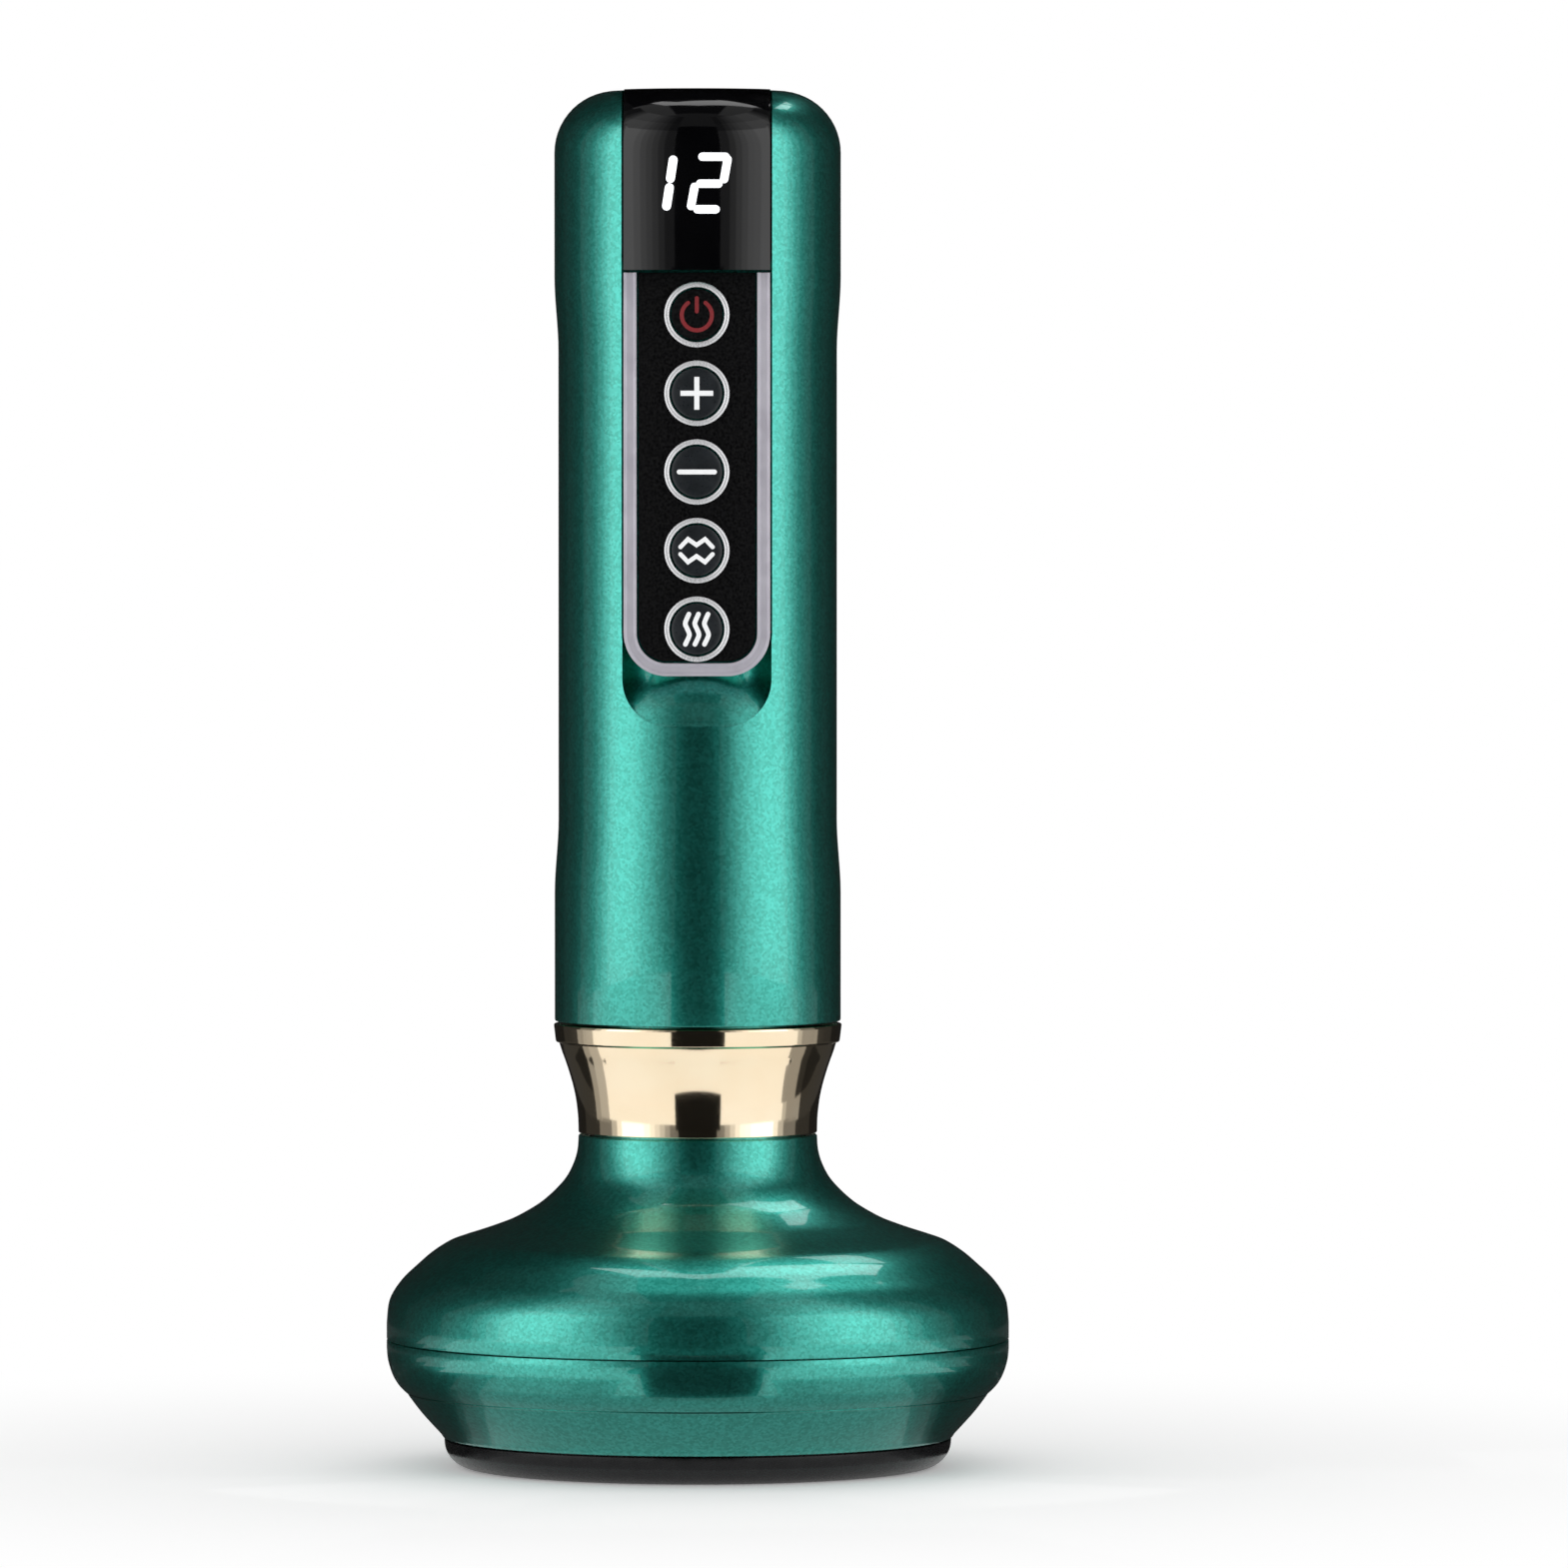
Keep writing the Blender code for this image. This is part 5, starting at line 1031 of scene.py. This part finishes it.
def card(name, corners, brightness):
    """A light or dark card beside the set, which shows in gloss alone. Its corners are in metres."""
    sheet = draw(name, [(x * METRE, y * METRE, z * METRE) for x, y, z in corners])
    bpy.ops.mesh.edge_face_add()
    close()
    face = bpy.data.materials.new(name)
    face.use_nodes = True
    face.node_tree.nodes.clear()
    glow = face.node_tree.nodes.new("ShaderNodeEmission")
    glow.inputs["Color"].default_value = (brightness, brightness, brightness, 1)
    output = face.node_tree.nodes.new("ShaderNodeOutputMaterial")
    face.node_tree.links.new(glow.outputs["Emission"], output.inputs["Surface"])
    sheet.data.materials.append(face)
    sheet.visible_camera = False
    sheet.visible_diffuse = False
    sheet.visible_shadow = False
    sheet.visible_transmission = False


def around_set(turn_by, reach):
    """A floor point at an angle from the camera's side and a distance, in metres."""
    angle = math.radians(turn_by)
    return reach * math.sin(angle), -reach * math.cos(angle)


def wall_card(name, ends, low, high, brightness):
    """A card that stands over the line between two (x, y) points."""
    (x1, y1), (x2, y2) = ends
    card(name, [(x1, y1, low), (x2, y2, low), (x2, y2, high), (x1, y1, high)], brightness)


def level_card(name, height, corners, brightness):
    """A card that lies at one height."""
    card(name, [(x, y, height) for x, y in corners], brightness)


def standing_card(name, first, last, reach, near, height, brightness):
    """A card that stands between two angles, and one of the same brightness on the floor before it."""
    outer = [around_set(first, reach), around_set(last, reach)]
    inner = [around_set(last, near), around_set(first, near)]
    wall_card(name, outer, 0, height, brightness)
    level_card(f"{name}_cloth", CLOTH_HEIGHT, outer + inner, brightness)


def floor_cloth(name, first, last, near, far, brightness):
    """Part of a ring on the floor, between two angles and two distances."""
    turns = [first + (last - first) * step / 8 for step in range(9)]
    outer = [around_set(turn_by, far) for turn_by in turns]
    inner = [around_set(turn_by, near) for turn_by in turns[::-1]]
    level_card(name, CLOTH_HEIGHT, outer + inner, brightness)


def softbox(name, first, last, brightness):
    """A standing white card, the same light on the floor before it and less above it."""
    standing_card(name, first, last, SOFTBOX_REACH, SOFTBOX_NEAR, SOFTBOX_HEIGHT, brightness)
    ends = [around_set(first, SOFTBOX_REACH), around_set(last, SOFTBOX_REACH)]
    for tier, low, high, share in (("middle", SOFTBOX_HEIGHT, 1.5, 0.55), ("top", 1.5, FLAG_HEIGHT, 0.42)):
        wall_card(f"{name}_{tier}", ends, low, high, share * brightness)


def lamp(name, width, height, place, target, brightness):
    pick()
    bpy.ops.object.light_add(type="AREA", location=place)
    box = bpy.context.object
    box.name = name
    box.data.shape = "RECTANGLE"
    box.data.size = width
    box.data.size_y = height
    box.data.energy = 4 * brightness * width * height
    box.rotation_euler = (place - target).to_track_quat("Z", "Y").to_euler()
    box.visible_camera = False


def world_light():
    """A plain white world, slightly dimmer where it lights the object than where it is seen."""
    world = bpy.data.worlds.new("studio")
    bpy.context.scene.world = world
    world.use_nodes = True
    tree = world.node_tree
    backdrop = tree.nodes["Background"]
    backdrop.inputs["Color"].default_value = (1, 1, 1, 1)
    level = tree.nodes.new("ShaderNodeMapRange")
    level.inputs["To Min"].default_value = 0.8
    tree.links.new(seen_rays(tree), level.inputs["Value"])
    tree.links.new(level.outputs["Result"], backdrop.inputs["Strength"])


def side_cards(side, sign, inner, share):
    """Softboxes, flags and floor cloths on one side, at angles from the camera's side."""
    softboxes = (
        (inner, 26, 0.17 * share), (26, 31, 0.34 * share), (31, 36, 0.56 * share), (36, 41, 0.78 * share),
        (41, 46, 1.0 * share), (46, 52, 1.4), (52, 77, 1.72), (77, 83, 1.0), (83, 90, 0.5), (90, 108, 0.18),
    )
    for index, (first, last, brightness) in enumerate(softboxes):
        softbox(f"{side}_softbox_{index + 1}", sign * first, sign * last, brightness)
    for flag, first, last, brightness in (("side", 108, 136, 0.03), ("back", 136, 180, 0.012)):
        standing_card(
            f"{side}_{flag}_flag", sign * first, sign * last, FLAG_REACH, FLAG_NEAR, FLAG_HEIGHT, brightness,
        )
    cloths = (
        ("front", 0, 60, 0.04, 0.058, 0.38), ("pale", 60, 70, 0.04, 0.058, 0.16),
        ("edge", 60, 74, 0.058, 0.09, 0.2), ("lower", 70, 74, 0.04, 0.058, 0.06),
        ("dark", 74, 165, 0.04, 0.09, 0.02), ("outer", 88, 165, 0.09, 0.12, 0.02),
        ("ring", 20, 32, 0.058, 0.086, 0.42), ("ring_side", 32, 60, 0.058, 0.086, 0.55),
        ("rear", 112, 170, 0.12, 0.2, 0.015), ("far_rear", 112, 170, 0.2, 0.4, 0.04),
    )
    for cloth, first, last, near, far, brightness in cloths:
        floor_cloth(f"{side}_{cloth}_cloth", sign * first, sign * last, near, far, brightness)
    corners = ((0.5, -0.8), (1.5, -0.8), (1.5, 0.5), (0.5, 0.5))
    level_card(f"{side}_ceiling_card", 2.38, [(sign * x, y) for x, y in corners], 0.4)


def belly_cloths():
    """Floor cloths that show in the head's belly, unlike from left to right."""
    for cloth, first, last, near, far, brightness in (
            ("left_side", -92, -104, 0.12, 0.4, 0.45), ("left_turn", -104, -112, 0.145, 0.4, 0.32),
            ("left_near", -104, -114, 0.12, 0.145, 0.03), ("right_near", 85, 92, 0.12, 0.2, 0.3),
            ("right_side", 87, 92, 0.2, 0.4, 0.5), ("right_turn", 92, 112, 0.2, 0.4, 0.3),
            ("right_turn_near", 92, 103, 0.12, 0.2, 0.3), ("right_rear", 103, 112, 0.12, 0.2, 0.03)):
        floor_cloth(f"{cloth}_cloth", first, last, near, far, brightness)


def single_cards():
    """The dark strip down the middle, in front, at the foot, over the window and above, and the streak."""
    standing_card("front_flag", -18, 18.5, 2.3, 0.12, 2.5, 0.008)
    level_card("band_flag", 0.0015, [
        (-0.042, -0.112), (0.044, -0.112), (0.184, -0.465), (-0.175, -0.468),
    ], 0.008)
    wall_card("foot_card", [(-0.0118, -0.056), (0.0145, -0.056)], 0, 0.018, 0.02)
    level_card("window_flag", 0.2225, [
        (-0.0165, -0.014), (0.0203, -0.014), (0.0203, 0.02), (-0.0165, 0.02),
    ], 0.002)
    level_card("ceiling_flag", 2.4, [(-3, -0.7), (3, -0.7), (3, 3), (-3, 3)], 0.03)
    card("front_ceiling", [(-3, -3, 2.42), (3, -3, 2.42), (3, -0.7, 2.4), (-3, -0.7, 2.4)], 0.15)
    lamp("back_softbox", 0.3, 0.4, Vector((0.52, 1.0, 1.3)), Vector((0, 0, 0.2)), 1.3)
    level_card("upper_softbox", 1.2, [
        (-0.404, 0.423), (-0.142, 0.202), (0.108, 0.283), (0.354, 0.479), (0.703, 0.931), (0.775, 0.612),
        (0.45, 0.139), (0.007, 0.003), (-0.257, 0.075),
    ], 2.7)


def studio():
    world_light()
    side_cards("left", -1, 18, 1.05)
    side_cards("right", 1, 18.5, 1.3)
    belly_cloths()
    single_cards()


def camera():
    eye = bpy.data.cameras.new("camera")
    eye.sensor_width = 36
    eye.lens = CAMERA_LENS
    eye.clip_end = 20
    view = bpy.data.objects.new("camera", eye)
    bpy.context.scene.collection.objects.link(view)
    view.location = CAMERA_PLACE
    away = Vector(CAMERA_PLACE) - Vector(CAMERA_TARGET)
    view.rotation_euler = away.to_track_quat("Z", "Y").to_euler()
    bpy.context.scene.camera = view


def build():
    camera()
    paint = metallic_paint()
    silver = bezel_silver()
    steel = ball_steel()
    panel_black = grained_black()
    glow = printed_mark("lit_segment", (0.95, 0.97, 1.0), 1.0)
    # White print on the caps, with a faint painted glow that makes it brighter than the light falling on it
    # would
    white_ink_painted_glow = printed_mark("white_ink_painted_glow", (0.93, 0.94, 0.95), 0.15)
    red_ink = printed_mark("dark_red_ink", (0.28, 0.012, 0.018))
    make_handle(paint, piano_black(), trim_silver(), panel_black, glow)
    make_buttons(silver, cap_black(), panel_black, white_ink_painted_glow, red_ink)
    make_head(paint, gold_plate(), contact_black(), cup_black(), steel)
    dress(charging_inlet(), "housing", screw_steel(), "steel", "charging_port")
    finish_inner_parts({
        "green_paint": paint,
        "gold_plate": gold_plate(),
        "silver_trim": silver,
        "black_gloss": piano_black(),
        "black_matt": panel_black,
        "cap_black": cap_black(),
        "steel": screw_steel(),
        "ball_steel": steel,
        "grey_plastic": moulded("grey_plastic", (0.22, 0.23, 0.24), (0.3, 0.31, 0.32), 0.55),
        "white_plastic": moulded("white_plastic", (0.7, 0.7, 0.68), (0.8, 0.8, 0.78), 0.45),
        "silicone": moulded("silicone", (0.5, 0.5, 0.48), (0.6, 0.6, 0.58), 0.5),
        "board_green": moulded("board_green", (0.01, 0.11, 0.04), (0.02, 0.17, 0.07), 0.35, 0.01, 900),
        "heater_film": moulded("heater_film", (0.4, 0.08, 0.03), (0.52, 0.13, 0.05), 0.45, 0.01, 700),
        "cell_wrap": moulded("cell_wrap", (0.03, 0.11, 0.36), (0.05, 0.16, 0.46), 0.3, 0.004, 500),
    })
    floor()
    studio()
    scene = bpy.context.scene
    scene.view_settings.view_transform = "Standard"


build()
bpy.context.view_layer.update()
